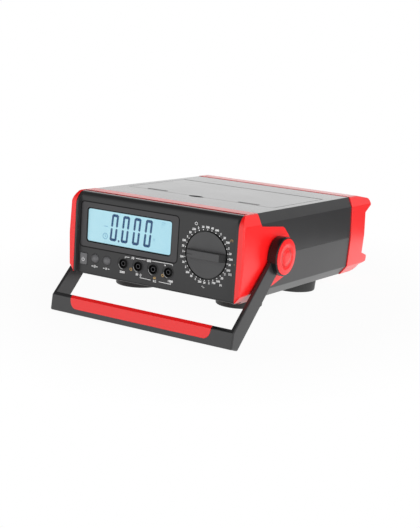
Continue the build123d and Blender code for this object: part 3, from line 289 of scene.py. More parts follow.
def circuitBoard(name, look):
    # Green laminate: the copper shows as paler bands under the lacquer
    look = {"gap": 0.12, "pale": 1.25, "relief": 0.3, "deep": 0.05, "roughness": 0.3, **look}
    material, nodes, links = newMaterial(name)
    shader = nodes["Principled BSDF"]
    cells = nodes.new("ShaderNodeTexBrick")
    cells.inputs["Scale"].default_value = 1 / (look["track"] * mm)
    cells.inputs["Mortar Size"].default_value = look["gap"]
    cells.inputs["Color1"].default_value = look["lacquer"]
    cells.inputs["Color2"].default_value = shaded(look["lacquer"], look["pale"])
    cells.inputs["Mortar"].default_value = look["copper"]
    links.new(objectCoords(nodes, links), cells.inputs["Vector"])
    links.new(cells.outputs["Color"], shader.inputs["Base Color"])
    links.new(bump(nodes, links, cells.outputs["Fac"], look["relief"], look["deep"]), shader.inputs["Normal"])
    shader.inputs["Roughness"].default_value = look["roughness"]
    return material


def woundCopper(name, look):
    look = {"wander": 0.4, "dim": 0.5, "relief": 0.6, "deep": 0.2, "metallic": 0.8, "roughness": 0.35, **look}
    material, nodes, links = newMaterial(name)
    shader = nodes["Principled BSDF"]
    turns = nodes.new("ShaderNodeTexWave")
    turns.wave_type = "BANDS"
    turns.bands_direction = "Z"
    turns.inputs["Scale"].default_value = 1 / (look["wire"] * mm) / 6.28       # one band to each turn of wire
    turns.inputs["Distortion"].default_value = look["wander"]
    links.new(objectCoords(nodes, links, leaned=True), turns.inputs["Vector"])
    colour = look["colour"]
    links.new(blendColours(nodes, links, turns.outputs["Fac"], shaded(colour, look["dim"]), colour),
              shader.inputs["Base Color"])
    links.new(bump(nodes, links, turns.outputs["Fac"], look["relief"], look["deep"]), shader.inputs["Normal"])
    shader.inputs["Metallic"].default_value = look["metallic"]
    shader.inputs["Roughness"].default_value = look["roughness"]
    return material


finishes = {
    "case": mouldedPlastic("caseTexturedPlastic", {
        "colour": tint(45, 45, 46), "roughness": 0.3, "grain": 0.5, "relief": 0.05, "ior": 1.57}),
    # A lighter, glossier copy of the case plastic for the up-facing faces and the lid: real gloss, and a painted
    # sheen where the top catches the light
    "lid": mouldedPlastic("caseTopGlossAndPaintedSheen", {
        "colour": tint(54, 54, 55), "roughness": 0.2, "grain": 0.6, "relief": 0.03, "ior": 1.58,
        "coat": 0.25, "coatRoughness": 0.16}),
    "red": mouldedPlastic("redBumperPlastic", {
        "colour": tint(250, 18, 20), "roughness": 0.3, "grain": 0.4, "relief": 0.03, "spread": 0.01,
        "coat": 0.3, "coatRoughness": 0.3}),
    "rearRed": mouldedPlastic("rearBumperPlastic", {
        "colour": tint(250, 18, 20), "roughness": 0.3, "grain": 0.4, "relief": 0.03, "spread": 0.01,
        "coat": 0.75, "coatRoughness": 0.34}),
    # Near-black and dull: painted shade of the finger notch at the lid's front edge
    "notchShade": mouldedPlastic("notchPaintedShade", {
        "colour": tint(14, 14, 15), "roughness": 0.8, "grain": 0.4, "relief": 0.03, "ior": 1.25}),
    "panel": mouldedPlastic("panelSatinPlastic", {
        "colour": tint(37, 37, 38), "roughness": 0.38, "grain": 0.35, "relief": 0.05}),
    "bezel": mouldedPlastic("bezelSatinPlastic", {
        "colour": tint(55, 54, 56), "roughness": 0.38, "grain": 0.35, "relief": 0.04}),
    "handle": mouldedPlastic("handlePlastic", {
        "colour": tint(42, 42, 43), "roughness": 0.3, "grain": 0.5, "relief": 0.05, "ior": 1.56}),
    # Black glossy hubs; also laid on the knob's right-facing faces as painted shade
    "hub": mouldedPlastic("hubGlossyAndPaintedShade", {
        "colour": tint(20, 20, 21), "roughness": 0.24, "grain": 0.4, "relief": 0.03}),
    "knob": mouldedPlastic("knobPlastic", {
        "colour": tint(66, 66, 67), "roughness": 0.42, "grain": 0.4, "relief": 0.05}),
    "button": mouldedPlastic("buttonPlastic", {
        "colour": tint(100, 100, 102), "roughness": 0.32, "grain": 0.3, "relief": 0.06}),
    # Black plastic; also laid on the bezel's sloping faces as painted shade
    "black": mouldedPlastic("blackPlasticAndPaintedShade", {
        "colour": tint(12, 12, 13), "roughness": 0.25, "grain": 0.4, "relief": 0.06}),
    # Matt black of the jack sleeves; also the painted shade lines round the bezel and the window
    "jack": mouldedPlastic("mattBlackAndPaintedShade", {
        "colour": tint(8, 8, 9), "roughness": 0.5, "grain": 0.4, "relief": 0.05, "ior": 1.3}),
    "frame": mouldedPlastic("innerFramePlastic", {
        "colour": tint(190, 190, 186), "roughness": 0.45, "grain": 0.5, "relief": 0.1}),
    "component": mouldedPlastic("componentEpoxy", {
        "colour": tint(38, 38, 40), "roughness": 0.5, "grain": 0.3, "relief": 0.2, "spread": 0.15}),
    "jacket": mouldedPlastic("cellJacket", {
        "colour": tint(36, 66, 58), "roughness": 0.28, "grain": 0.8, "relief": 0.05, "spread": 0.12}),
    "backlight": mouldedPlastic("backlightDiffuser", {
        "colour": tint(226, 232, 232), "roughness": 0.4, "grain": 0.5, "relief": 0.05}),
    "rubber": mouldedPlastic("footRubber", {
        "colour": tint(42, 42, 42), "roughness": 0.5, "grain": 0.6, "relief": 0.1}),
    "brass": metal("turnedBrass", {"colour": tint(196, 164, 104), "roughness": 0.32}),
    "nickel": metal("darkNickel", {"colour": tint(92, 92, 94), "roughness": 0.4}),
    "steel": metal("platedSteel", {"colour": tint(178, 180, 182), "roughness": 0.34}),
    "lens": clearGlass("clearDisplayWindow", {"colour": (1, 1, 1, 1), "haze": 0.03, "ior": 1.22}),
    "fuseGlass": clearGlass("fuseGlassTube", {"colour": tint(236, 244, 242), "haze": 0.05, "ior": 1.5}),
    "lcd": litDisplay("litLiquidCrystal", {
        "near": tint(180, 227, 241), "far": tint(171, 222, 239), "unlit": tint(60, 72, 70), "strength": 0.905,
        "left": -88.4, "right": 19.6}),
    "lcdInk": inkAndPaintedHighlight("displaySegmentDark", tint(4, 62, 104), 0.55),
    "lcdFaint": inkAndPaintedHighlight("displaySegmentFaint", tint(92, 140, 164), 0.85),
    "whiteInk": inkAndPaintedHighlight("whitePanelInk", tint(244, 244, 244)),
    # Painted highlight: the grey crescents on the jack rims
    "rimHighlight": inkAndPaintedHighlight("jackRimPaintedHighlight", tint(166, 166, 166)),
    "tanInk": inkAndPaintedHighlight("tanPanelInk", tint(196, 160, 100)),
    "board": circuitBoard("greenBoardLaminate", {
        "lacquer": tint(28, 92, 58), "copper": tint(70, 130, 84), "track": 7}),
    "copper": woundCopper("enamelledCopperWire", {"colour": tint(196, 112, 62), "wire": 1.2}),
}
print("materials made")


def addPiece(name, mesh):
    piece = bpy.data.objects.new(name, mesh)
    scene.collection.objects.link(piece)
    return piece


# Rigid mouldings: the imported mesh, merged, with its sharp edges eased
def easedCopy(node, name, look):
    look = {
        "merge": 0.002, "flat": 0.5,                    # mm between doubles, and degrees taken as one flat face
        "ease": 0, "angle": 14, "longer": 0,            # mm of bevel on edges over these degrees and this length
        "segments": 2, "clamp": False,
        "dome": 0, "domeFrom": 0,                       # how many times prouder, past this many mm
        # A second finish on faces that look one way: used for painted sheen on up-facing faces and painted shade on
        # others
        "crown": None, "crownWay": caseUp, "crownShare": 0.94,      # second finish on faces that look this way
        "smooth": 50, "weighted": True,
        **look}
    bm = bmesh.new()
    bm.from_mesh(frame["nodes"][node].data)
    bmesh.ops.remove_doubles(bm, verts=bm.verts, dist=look["merge"] * mm)
    if look["dome"]:
        for vert in bm.verts:
            proud = -(vert.co - caseOrigin).dot(caseBack) - look["domeFrom"] * mm
            if proud > 0:
                vert.co -= caseBack * proud * (look["dome"] - 1)
    bmesh.ops.dissolve_limit(bm, angle_limit=math.radians(look["flat"]), verts=bm.verts, edges=bm.edges)
    limit = math.radians(look["angle"])
    sharp = [e for e in bm.edges if len(e.link_faces) == 2 and e.calc_face_angle(0) > limit
             and e.calc_length() > look["longer"] * mm]
    if look["ease"]:
        bmesh.ops.bevel(bm, geom=sharp, affect="EDGES", offset=look["ease"] * mm, offset_type="OFFSET",
                        segments=look["segments"], profile=0.5, material=-1, clamp_overlap=look["clamp"])
    mesh = bpy.data.meshes.new(name)
    mesh.materials.append(finishes[look["finish"]])
    if look["crown"]:
        mesh.materials.append(finishes[look["crown"]])
    bm.normal_update()
    for face in bm.faces:
        face.smooth = True
        if look["crown"] and face.normal.dot(look["crownWay"]) > look["crownShare"]:
            face.material_index = 1
    bm.to_mesh(mesh)
    bm.free()
    piece = addPiece(name, mesh)
    mesh.set_sharp_from_angle(angle=math.radians(look["smooth"]))
    if look["weighted"]:
        piece.modifiers.new("faceNormals", "WEIGHTED_NORMAL").keep_sharp = True
    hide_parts(node)
    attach(piece, frame["nodes"][node]["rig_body"])


rigidPieces = {
    # Its up-facing faces take the lighter, glossier top finish: painted sheen
    "case_top": {"finish": "case", "slot": "case_plastic", "ease": 0.4, "crown": "lid"},
    "case_bottom": {"finish": "case", "slot": "case_plastic", "ease": 0.4},
    "front_bumper": {"finish": "red", "slot": "red_bumper", "ease": 0.25},
    "rear_bumper": {"finish": "rearRed", "slot": "red_bumper", "ease": 0.5},
    # The panel's up-facing faces along its top take the lighter, glossier top finish: painted sheen
    "front_panel": {"finish": "panel", "slot": "panel_plastic", "ease": 0.15, "angle": 40,
                    "crown": "lid", "crownShare": 0.9},
    "rear_panel": {"finish": "panel", "slot": "panel_plastic", "ease": 0.2},
    # The bezel's faces that do not look straight ahead turn black: painted shade on the window's sloping walls
    "display_bezel": {"finish": "bezel", "slot": "bezel_plastic", "ease": 0.12,
                      "crown": "black", "crownWay": caseBack, "crownShare": -0.985},
    "jack_sleeves": {"finish": "jack", "slot": "black_plastic", "ease": 0.12},
    "jack_contacts": {"finish": "nickel", "slot": "contact_metal", "ease": 0.06},
    "power_button": {"finish": "button", "slot": "button_plastic", "ease": 0.1},
    "light_button": {"finish": "button", "slot": "button_plastic", "ease": 0.1, "dome": 1.8, "domeFrom": 0.4},
    "hold_button": {"finish": "button", "slot": "button_plastic", "ease": 0.1, "dome": 1.8, "domeFrom": 0.4},
    # Faces of the knob that look to the right take the black hub finish: painted shade on the grip's right end
    "dial_knob": {"finish": "knob", "slot": "knob_plastic", "ease": 0.25,
                  "crown": "hub", "crownWay": caseRight, "crownShare": 0.3},
    # The lid takes the lighter, glossier top finish: painted sheen
    "storage_lid": {"finish": "lid", "slot": "case_plastic", "ease": 0.15},
    "storage_tray": {"finish": "case", "slot": "case_plastic", "ease": 0.3},
    "battery_door": {"finish": "case", "slot": "case_plastic", "ease": 0.15},
    "mains_inlet": {"finish": "black", "slot": "black_plastic", "ease": 0.2},
    "fuse_drawer": {"finish": "black", "slot": "black_plastic", "ease": 0.2},
    "feet": {"finish": "rubber", "slot": "foot_rubber", "ease": 0.25, "angle": 40, "clamp": True},
    "handle_frame": {"finish": "handle", "slot": "handle_plastic", "ease": 0.4, "longer": 6},
    "handle_grip": {"finish": "red", "slot": "red_bumper", "ease": 0.15},
    "handle_hubs": {"finish": "hub", "slot": "black_plastic", "ease": 0.3},
    "hub_caps": {"finish": "red", "slot": "red_bumper", "smooth": 30, "weighted": False},
}
for node, look in rigidPieces.items():
    easedCopy(node, node + "_moulding", look)
print("rigid pieces made:", len(rigidPieces))

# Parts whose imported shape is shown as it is: only the finish changes
slotFinish = {
    "display_glass": "lens", "lcd": "lcd", "backlight": "backlight", "frame_plastic": "frame", "board": "board",
    "component": "component", "black_plastic": "black", "contact_metal": "brass", "steel": "steel",
    "copper_coil": "copper", "cell_jacket": "jacket", "fuse_glass": "fuseGlass", "case_plastic": "case",
    "red_bumper": "red", "panel_plastic": "panel", "bezel_plastic": "bezel", "button_plastic": "button",
    "knob_plastic": "knob", "handle_plastic": "handle", "foot_rubber": "rubber",
}
for part in frame["record"]["subparts"]:
    shown = frame["nodes"][part["node"]]
    for place in shown.material_slots:
        place.link = "OBJECT"
        place.material = finishes[slotFinish[part["material_slot"]]]
print("finishes laid on the packed parts")


# Flat marks: each is a thin closed plate in the case's millimetres, x to the right and z up the panel
def barMark(bm, centre, size, depth, point=0.0, slant=0.0, foot=0.0):
    made = bmesh.ops.create_cube(bm, size=1.0)["verts"]
    bmesh.ops.scale(bm, verts=made, vec=(size[0], depth, size[1]))
    if point:
        ends = [e for v in made for e in v.link_edges if abs(e.verts[0].co.y - e.verts[1].co.y) > depth / 2]
        cut = bmesh.ops.bevel(bm, geom=list(set(ends)), affect="EDGES", offset=min(size) * point,
                              offset_type="OFFSET", segments=1, profile=0.5, material=-1, clamp_overlap=True)
        made = list({v for f in cut["faces"] for v in f.verts})
    bmesh.ops.translate(bm, verts=made, vec=(centre[0], 0, centre[1]))
    for v in made:
        v.co.x += (v.co.z - foot) * slant


def dotMark(bm, centre, radius, depth, segments=16):
    place = Matrix.Translation((centre[0], 0, centre[1])) @ Matrix.Rotation(math.radians(90), 4, "X")
    bmesh.ops.create_cone(bm, cap_ends=True, segments=segments, radius1=radius, radius2=radius,
                          depth=depth, matrix=place)


def ringMark(bm, centre, radius, width, depth, start=0.0, sweep=360.0):
    # A short radial bar swept round the centre, from `start` degrees
    begin = Vector((math.cos(math.radians(start)), 0, math.sin(math.radians(start))))
    middle = Vector((centre[0], 0, centre[1]))
    corners = []
    for reach, lift in ((-0.5, -0.5), (0.5, -0.5), (0.5, 0.5), (-0.5, 0.5)):
        corners.append(bm.verts.new(middle + begin * (radius + width * reach) + Vector((0, depth * lift, 0))))
    swept = [bm.edges.new((corners[i], corners[(i + 1) % 4])) for i in range(4)] + corners
    closed = sweep >= 360
    if not closed:
        swept.insert(0, bm.faces.new(corners))
    bmesh.ops.spin(bm, geom=swept, cent=middle, axis=(0, -1, 0), angle=math.radians(min(sweep, 360)),
                   steps=24 if closed else max(6, int(sweep / 15)), use_merge=closed)


def strokeMark(bm, start, end, width, depth):
    run = Vector((end[0] - start[0], 0, end[1] - start[1]))
    made = bmesh.ops.create_cube(bm, size=1.0)["verts"]
    bmesh.ops.scale(bm, verts=made, vec=(run.length + width, depth, width))
    bmesh.ops.rotate(bm, verts=made, cent=(0, 0, 0),
                     matrix=Matrix.Rotation(-math.atan2(run.z, run.x), 3, "Y"))
    bmesh.ops.translate(bm, verts=made, vec=((start[0] + end[0]) / 2, 0, (start[1] + end[1]) / 2))


def chainMark(bm, points, width, depth):
    for start, end in zip(points, points[1:]):
        strokeMark(bm, start, end, width, depth)


def numberMark(bm, text, centre, tall, depth):
    curve = bpy.data.curves.new("numeral", "FONT")
    curve.body = text
    curve.align_x = "CENTER"
    curve.align_y = "CENTER"
    curve.size = tall / 0.73            # a figure stands 0.73 of the type size
    curve.resolution_u = 2
    curve.extrude = depth / 2
    curve.offset = 0.12                 # mm bolder all round
    holder = addPiece("numeral", curve)
    bpy.context.view_layer.update()
    mesh = bpy.data.meshes.new_from_object(holder.evaluated_get(bpy.context.evaluated_depsgraph_get()))
    bpy.data.objects.remove(holder)
    bpy.data.curves.remove(curve)
    upright = Matrix(((1, 0, 0, centre[0]), (0, 0, -1, 0), (0, 1, 0, centre[1]), (0, 0, 0, 1)))
    mesh.transform(upright)
    bm.from_mesh(mesh)
    bpy.data.meshes.remove(mesh)


def placeSolid(bm, name, look):
    bmesh.ops.transform(bm, matrix=caseToBench, verts=bm.verts)
    mesh = bpy.data.meshes.new(name)
    bm.to_mesh(mesh)
    bm.free()
    mesh.materials.append(finishes[look["finish"]])
    piece = addPiece(name, mesh)
    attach(piece, look["body"])


def placeMarks(bm, name, look):
    # Sets the finished marks at their depth in the case
    bmesh.ops.remove_doubles(bm, verts=bm.verts, dist=0.0005)
    bmesh.ops.recalc_face_normals(bm, faces=bm.faces)
    bmesh.ops.translate(bm, verts=bm.verts, vec=(0, look["front"], 0))
    placeSolid(bm, name, look)


def makeDisplayMarks():
    display = {
        "left": -60.4, "pitch": 14.5, "digits": 4,     # mm, foot of the first digit's outer left edge
        "low": 41.3, "tall": 28.8, "wide": 8.8,
        "upright": 2.5, "level": 2.9, "gap": 0.4, "slant": 0.079,
        "uprightPoint": 0.49, "levelPoint": 0.45, "levelShort": 0.35,
        "decimal": ((-48.4, 42.3), (2.1, 2.1)),
        "minus": ((-66.0, 55.9), (4.6, 0.8)),
        "clock": (-66.2, 45.4), "clockRadius": 3.0, "clockLine": 0.8,
        "hands": ((-66.2, 47.0), (-65.1, 44.6)), "handLine": 0.7,
        "cross": (((-4.4, 49.4), (-2.2, 51.6)), ((-4.4, 51.6), (-2.2, 49.4))), "crossLine": 0.4,
        "direct": ((7.4, 69.6), (4.2, 0.6)), "dashes": (5.9, 7.4, 8.9), "dashHeight": 67.6, "dash": (1.0, 0.6),
        "depth": 0.06, "glassFront": 3.55,
    }
    low, tall, wide = display["low"], display["tall"], display["wide"]
    upright, level, gap = display["upright"], display["level"], display["gap"]
    depth, slant = display["depth"], display["slant"]
    half = tall / 2
    bm = bmesh.new()
    for digit in range(display["digits"]):
        left = display["left"] + digit * display["pitch"]
        for rise in (0, 1):
            for side in (left + upright / 2, left + wide - upright / 2):
                barMark(bm, (side, low + half * (rise + 0.5)), (upright, half - gap * 2), depth,
                        display["uprightPoint"], slant, low)
        for height in (low + level / 2, low + tall - level / 2):
            barMark(bm, (left + wide / 2, height), (wide - upright * display["levelShort"], level), depth,
                    display["levelPoint"], slant, low)
    barMark(bm, *display["decimal"], depth, 0.2)
    placeMarks(bm, "display_digits", {
        "front": display["glassFront"] - depth, "finish": "lcdInk", "body": "case", "slot": "lcd"})

    bm = bmesh.new()
    barMark(bm, *display["minus"], depth)
    ringMark(bm, display["clock"], display["clockRadius"], display["clockLine"], depth)
    for tip in display["hands"]:
        strokeMark(bm, display["clock"], tip, display["handLine"], depth)
    for start, end in display["cross"]:
        strokeMark(bm, start, end, display["crossLine"], depth)
    barMark(bm, *display["direct"], depth)
    for across in display["dashes"]:
        barMark(bm, (across, display["dashHeight"]), display["dash"], depth)
    placeMarks(bm, "display_small_signs", {
        "front": display["glassFront"] - depth, "finish": "lcdFaint", "body": "case", "slot": "lcd"})


makeDisplayMarks()
print("display marks made")


def makeDialMarks():
    scale = {
        "dots": 32, "dotCircle": 25.7, "dotRadius": 0.55,
        "numberTall": 2.05, "numberCircle": 27.1, "characterWidth": 1.3, "line": 0.4, "depth": 0.06,
        "numbers": ["200", "20", "2", "200", "20", "2", "600", "60", "200", "20", "2", "200", "20", "2", "200", "20",
                    "2", "200", "20", "2", "200", "20", "2", "200", "20", "2", "750", "200", "20", "2", "200", "20"],
        # degrees from the right and mm from the dial's centre
        "circle": (114.6, 33.2), "pulse": (-27.1, 32.9), "diode": (-54.8, 33.6), "wave": (-92.3, 32.6),
        "tanArc": (32.9, 34.2),
        "tanDot": (33.9, -4.6),                     # mm right of and above the dial's centre
        "circleRadius": 1.4, "waveRadius": 0.8, "arcRadius": 1.3, "ringLine": 0.45, "tanDotRadius": 0.9,
    }
    middle = Vector((caseSizes["dialX"], caseSizes["dialHeight"]))
    depth, line = scale["depth"], scale["line"]

    def at(name, across=0.0, along=0.0):
        angle, reach = scale[name]
        turn = math.radians(angle)
        return middle + Vector((math.cos(turn) * reach + across, math.sin(turn) * reach + along))

    bm = bmesh.new()
    for stop in range(scale["dots"]):
        angle = math.tau * stop / scale["dots"]
        out = Vector((math.cos(angle), math.sin(angle)))
        dotMark(bm, middle + out * scale["dotCircle"], scale["dotRadius"], depth, 12)
        text = scale["numbers"][stop]
        halfWide = len(text) * scale["characterWidth"] / 2
        reach = scale["numberCircle"] + abs(out.x) * halfWide + abs(out.y) * scale["numberTall"] / 2
        numberMark(bm, text, middle + out * reach, scale["numberTall"], depth)
    ringMark(bm, at("circle"), scale["circleRadius"], scale["ringLine"], depth)
    for left in (-1.5, 0.5):
        chainMark(bm, [at("pulse", left, -1), at("pulse", left, 1), at("pulse", left + 1, 1),
                       at("pulse", left + 1, -1)], line, depth)
    chainMark(bm, [at("diode", 0.8, 0), at("diode", -1.2, -1.1), at("diode", -1.2, 1.1), at("diode", 0.8, 0)],
              line, depth)
    strokeMark(bm, at("diode", 1.0, -1.1), at("diode", 1.0, 1.1), line, depth)
    for side, start in ((-1, 0), (1, 180)):
        ringMark(bm, at("wave", side * scale["waveRadius"]), scale["waveRadius"], line, depth, start, 180)
    placeMarks(bm, "dial_scale_print", {
        "front": -depth / 2, "finish": "whiteInk", "body": "case", "slot": "panel_plastic"})

    bm = bmesh.new()
    ringMark(bm, at("tanArc"), scale["arcRadius"], scale["ringLine"], depth, -50, 280)
    dotMark(bm, middle + Vector(scale["tanDot"]), scale["tanDotRadius"], depth)
    placeMarks(bm, "dial_scale_tan_print", {
        "front": -depth / 2, "finish": "tanInk", "body": "case", "slot": "panel_plastic"})


makeDialMarks()
print("dial scale made")


def makePaintedShadeLines():
    # Painted shade: a dark line in the groove round the bezel, and a dark border where the window's edge lies in
    # shade: left, right, low and high
    lines = {
        "bezel_groove_painted_shade": {"box": (-97.2, 28.4, 30.9, 79.6), "radius": 4.3, "width": 1.2, "front": -0.03,
                              "slot": "panel_plastic"},
        "window_border_painted_shade": {"box": (-88.4, 19.6, 37.4, 73.1), "radius": 3.0, "width": 1.1, "front": 1.0,
                               "slot": "bezel_plastic"},
    }
    depth = 0.06        # mm
    for name, line in lines.items():
        left, right, low, high = line["box"]
        radius, width = line["radius"], line["width"]
        bm = bmesh.new()
        for height in (low, high):
            barMark(bm, ((left + right) / 2, height), (right - left - radius * 2, width), depth)
        for side in (left, right):
            barMark(bm, (side, (low + high) / 2), (width, high - low - radius * 2), depth)
        insideX, insideZ = (right - radius, left + radius), (high - radius, low + radius)
        for x, z, start in ((0, 0, 0), (1, 0, 90), (1, 1, 180), (0, 1, 270)):
            ringMark(bm, (insideX[x], insideZ[z]), radius, width, depth, start, 90)
        placeMarks(bm, name, {"front": line["front"], "finish": "jack", "body": "case", "slot": line["slot"]})


makePaintedShadeLines()
print("dark lines made")


def makePanelMarks():
    panel = {
        "depth": 0.06, "line": 0.55,
        "lamp": (-76.0, 11.4), "pause": (-60.4, 11.4),          # signs under the two round buttons
        "sideBar": (3.2, 1.9, 0.8), "lampRadius": 0.8, "lampLine": 0.5,
        "rays": 8, "ray": (1.35, 1.6), "rayLine": 0.35, "pauseBar": (0.6, 0.7, 2.2),
        "brackets": (                                           # over the jacks, and under them
            ((-36.5, 26.6), (-36.5, 28.0), (-31.2, 28.2)),
            ((-22.4, 28.5), (-10.4, 28.7)),
            ((-1.8, 29.0), (23.3, 29.4), (23.3, 28.0)),
            ((-16.0, 10.4), (-16.0, 9.0), (-3.0, 8.8)),
            ((8.0, 8.7), (22.5, 8.6), (22.5, 10.0)),
        ),
        "numbers": (
            ("10", (-26.8, 28.0), 2.7), ("600", (-6.2, 28.4), 2.7), ("2000", (-39.4, 11.2), 2.4),
            ("20", (-20.4, 11.9), 2.4), ("0.2", (2.4, 8.4), 2.3), ("1000", (21.6, 11.4), 2.4),
        ),
        "dot": (14.2, 27.0), "dotRadius": 0.8, "degree": (-15.6, 12.0), "degreeRadius": 0.9, "degreeLine": 0.4,
        "tanRings": ((-28.5, 16.0), (11.9, 16.0)), "tanRadius": 1.3, "tanLine": 0.6,
        "tanNumber": ("60", (2.0, 11.6), 2.4),
        "jacks": 4, "jackLeft": -38.6, "jackPitch": 19.05, "jackHeight": 20.4,
        # grey crescents on the jack rims: painted highlights
        "crescentRadius": 6.0, "crescentLine": 0.75, "crescentFrom": 190, "crescentSweep": 75,
        "power": (-91.0, 17.1), "powerRadius": 1.7, "powerLine": 0.5, "powerFrom": 125, "powerSweep": 290,
        "powerStroke": ((-91.0, 17.4), (-91.0, 19.2)), "powerProud": 1.0,
    }
    depth = panel["depth"]
    bm = bmesh.new()
    out, wide, tall = panel["sideBar"]
    for middle in (panel["lamp"], panel["pause"]):
        for side in (-1, 1):
            barMark(bm, (middle[0] + side * out, middle[1]), (wide, tall), depth, 0.2)
    ringMark(bm, panel["lamp"], panel["lampRadius"], panel["lampLine"], depth)
    for turn in range(panel["rays"]):
        angle = turn * math.tau / panel["rays"]
        ray = Vector((math.cos(angle), math.sin(angle)))
        near, far = (Vector(panel["lamp"]) + ray * reach for reach in panel["ray"])
        strokeMark(bm, near, far, panel["rayLine"], depth)
    out, wide, tall = panel["pauseBar"]
    for side in (-1, 1):
        barMark(bm, (panel["pause"][0] + side * out, panel["pause"][1]), (wide, tall), depth)
    for bracket in panel["brackets"]:
        chainMark(bm, bracket, panel["line"], depth)
    for text, centre, tall in panel["numbers"]:
        numberMark(bm, text, centre, tall, depth)
    dotMark(bm, panel["dot"], panel["dotRadius"], depth)
    ringMark(bm, panel["degree"], panel["degreeRadius"], panel["degreeLine"], depth)
    placeMarks(bm, "panel_print", {
        "front": -depth / 2, "finish": "whiteInk", "body": "case", "slot": "panel_plastic"})

    bm = bmesh.new()
    for centre in panel["tanRings"]:
        ringMark(bm, centre, panel["tanRadius"], panel["tanLine"], depth)
    numberMark(bm, *panel["tanNumber"], depth)
    placeMarks(bm, "panel_tan_print", {
        "front": -depth / 2, "finish": "tanInk", "body": "case", "slot": "panel_plastic"})

    # Grey crescents at the lower left of each jack rim: painted highlights
    bm = bmesh.new()
    for jack in range(panel["jacks"]):
        ringMark(bm, (panel["jackLeft"] + jack * panel["jackPitch"], panel["jackHeight"]), panel["crescentRadius"],
                 panel["crescentLine"], depth, panel["crescentFrom"], panel["crescentSweep"])
    placeMarks(bm, "jack_rim_painted_highlight", {
        "front": -depth / 2, "finish": "rimHighlight", "body": "case", "slot": "panel_plastic"})

    bm = bmesh.new()
    ringMark(bm, panel["power"], panel["powerRadius"], panel["powerLine"], depth,
             panel["powerFrom"], panel["powerSweep"])
    strokeMark(bm, *panel["powerStroke"], panel["powerLine"], depth)
    placeMarks(bm, "power_button_print", {
        "front": -panel["powerProud"] - depth / 2, "finish": "whiteInk", "body": "power", "slot": "button_plastic"})


makePanelMarks()
print("panel marks made")


def makeLidDetails():
    # The finger notch at the lid's front edge is shown by two dark half-discs, painted shade, one on the lid and one
    # on the case before it, with a row of short grip ribs to each side
    lid = {
        "front": 77.0, "top": 90.0, "notchMiddle": -2.5, "notchWide": 20.5, "lidShadeDeep": 4.6, "notchThick": 1.6,
        "scoopDeep": 5.6, "scoopProud": 0.06, "trim": 0.2,
        "ribMiddles": (-57.5, 59.3), "ribs": 9, "ribPitch": 2.9, "rib": (1.5, 3.6, 0.22), "ribsBehind": 5.5,
    }

    def halfMoon(name, deep, side, top, body):
        # A disc trimmed to the part that stands out by `deep` on one side of the lid's front edge
        reach = ((lid["notchWide"] / 2) ** 2 + deep ** 2) / (2 * deep)
        bm = bmesh.new()
        centre = Vector((lid["notchMiddle"], lid["front"] + side * (deep - reach), top - lid["notchThick"] / 2))
        bmesh.ops.create_cone(bm, cap_ends=True, segments=96, radius1=reach, radius2=reach, depth=lid["notchThick"],
                              matrix=Matrix.Translation(centre))
        everything = bm.verts[:] + bm.edges[:] + bm.faces[:]
        cut = bmesh.ops.bisect_plane(bm, geom=everything, plane_co=(0, lid["front"] - lid["trim"], 0),
                                     plane_no=(0, -side, 0), clear_outer=True)
        bmesh.ops.holes_fill(bm, edges=[e for e in cut["geom_cut"] if isinstance(e, bmesh.types.BMEdge)])
        bmesh.ops.recalc_face_normals(bm, faces=bm.faces)
        placeSolid(bm, name, {"finish": "notchShade", "body": body, "slot": "black_plastic"})

    halfMoon("lid_notch_painted_shade", lid["lidShadeDeep"], 1, lid["top"], "lid")
    halfMoon("case_notch_painted_shade", lid["scoopDeep"], -1, lid["top"] + lid["scoopProud"], "case")

    bm = bmesh.new()
    wide, long, tall = lid["rib"]
    for middle in lid["ribMiddles"]:
        for step in range(lid["ribs"]):
            made = bmesh.ops.create_cube(bm, size=1.0)["verts"]
            bmesh.ops.scale(bm, verts=made, vec=(wide, long, tall * 2))
            across = middle + (step - (lid["ribs"] - 1) / 2) * lid["ribPitch"]
            bmesh.ops.translate(bm, verts=made, vec=(across, lid["front"] + lid["ribsBehind"], lid["top"]))
    placeSolid(bm, "lid_grip_ribs", {"finish": "case", "body": "lid", "slot": "case_plastic"})


makeLidDetails()
print("lid details made")


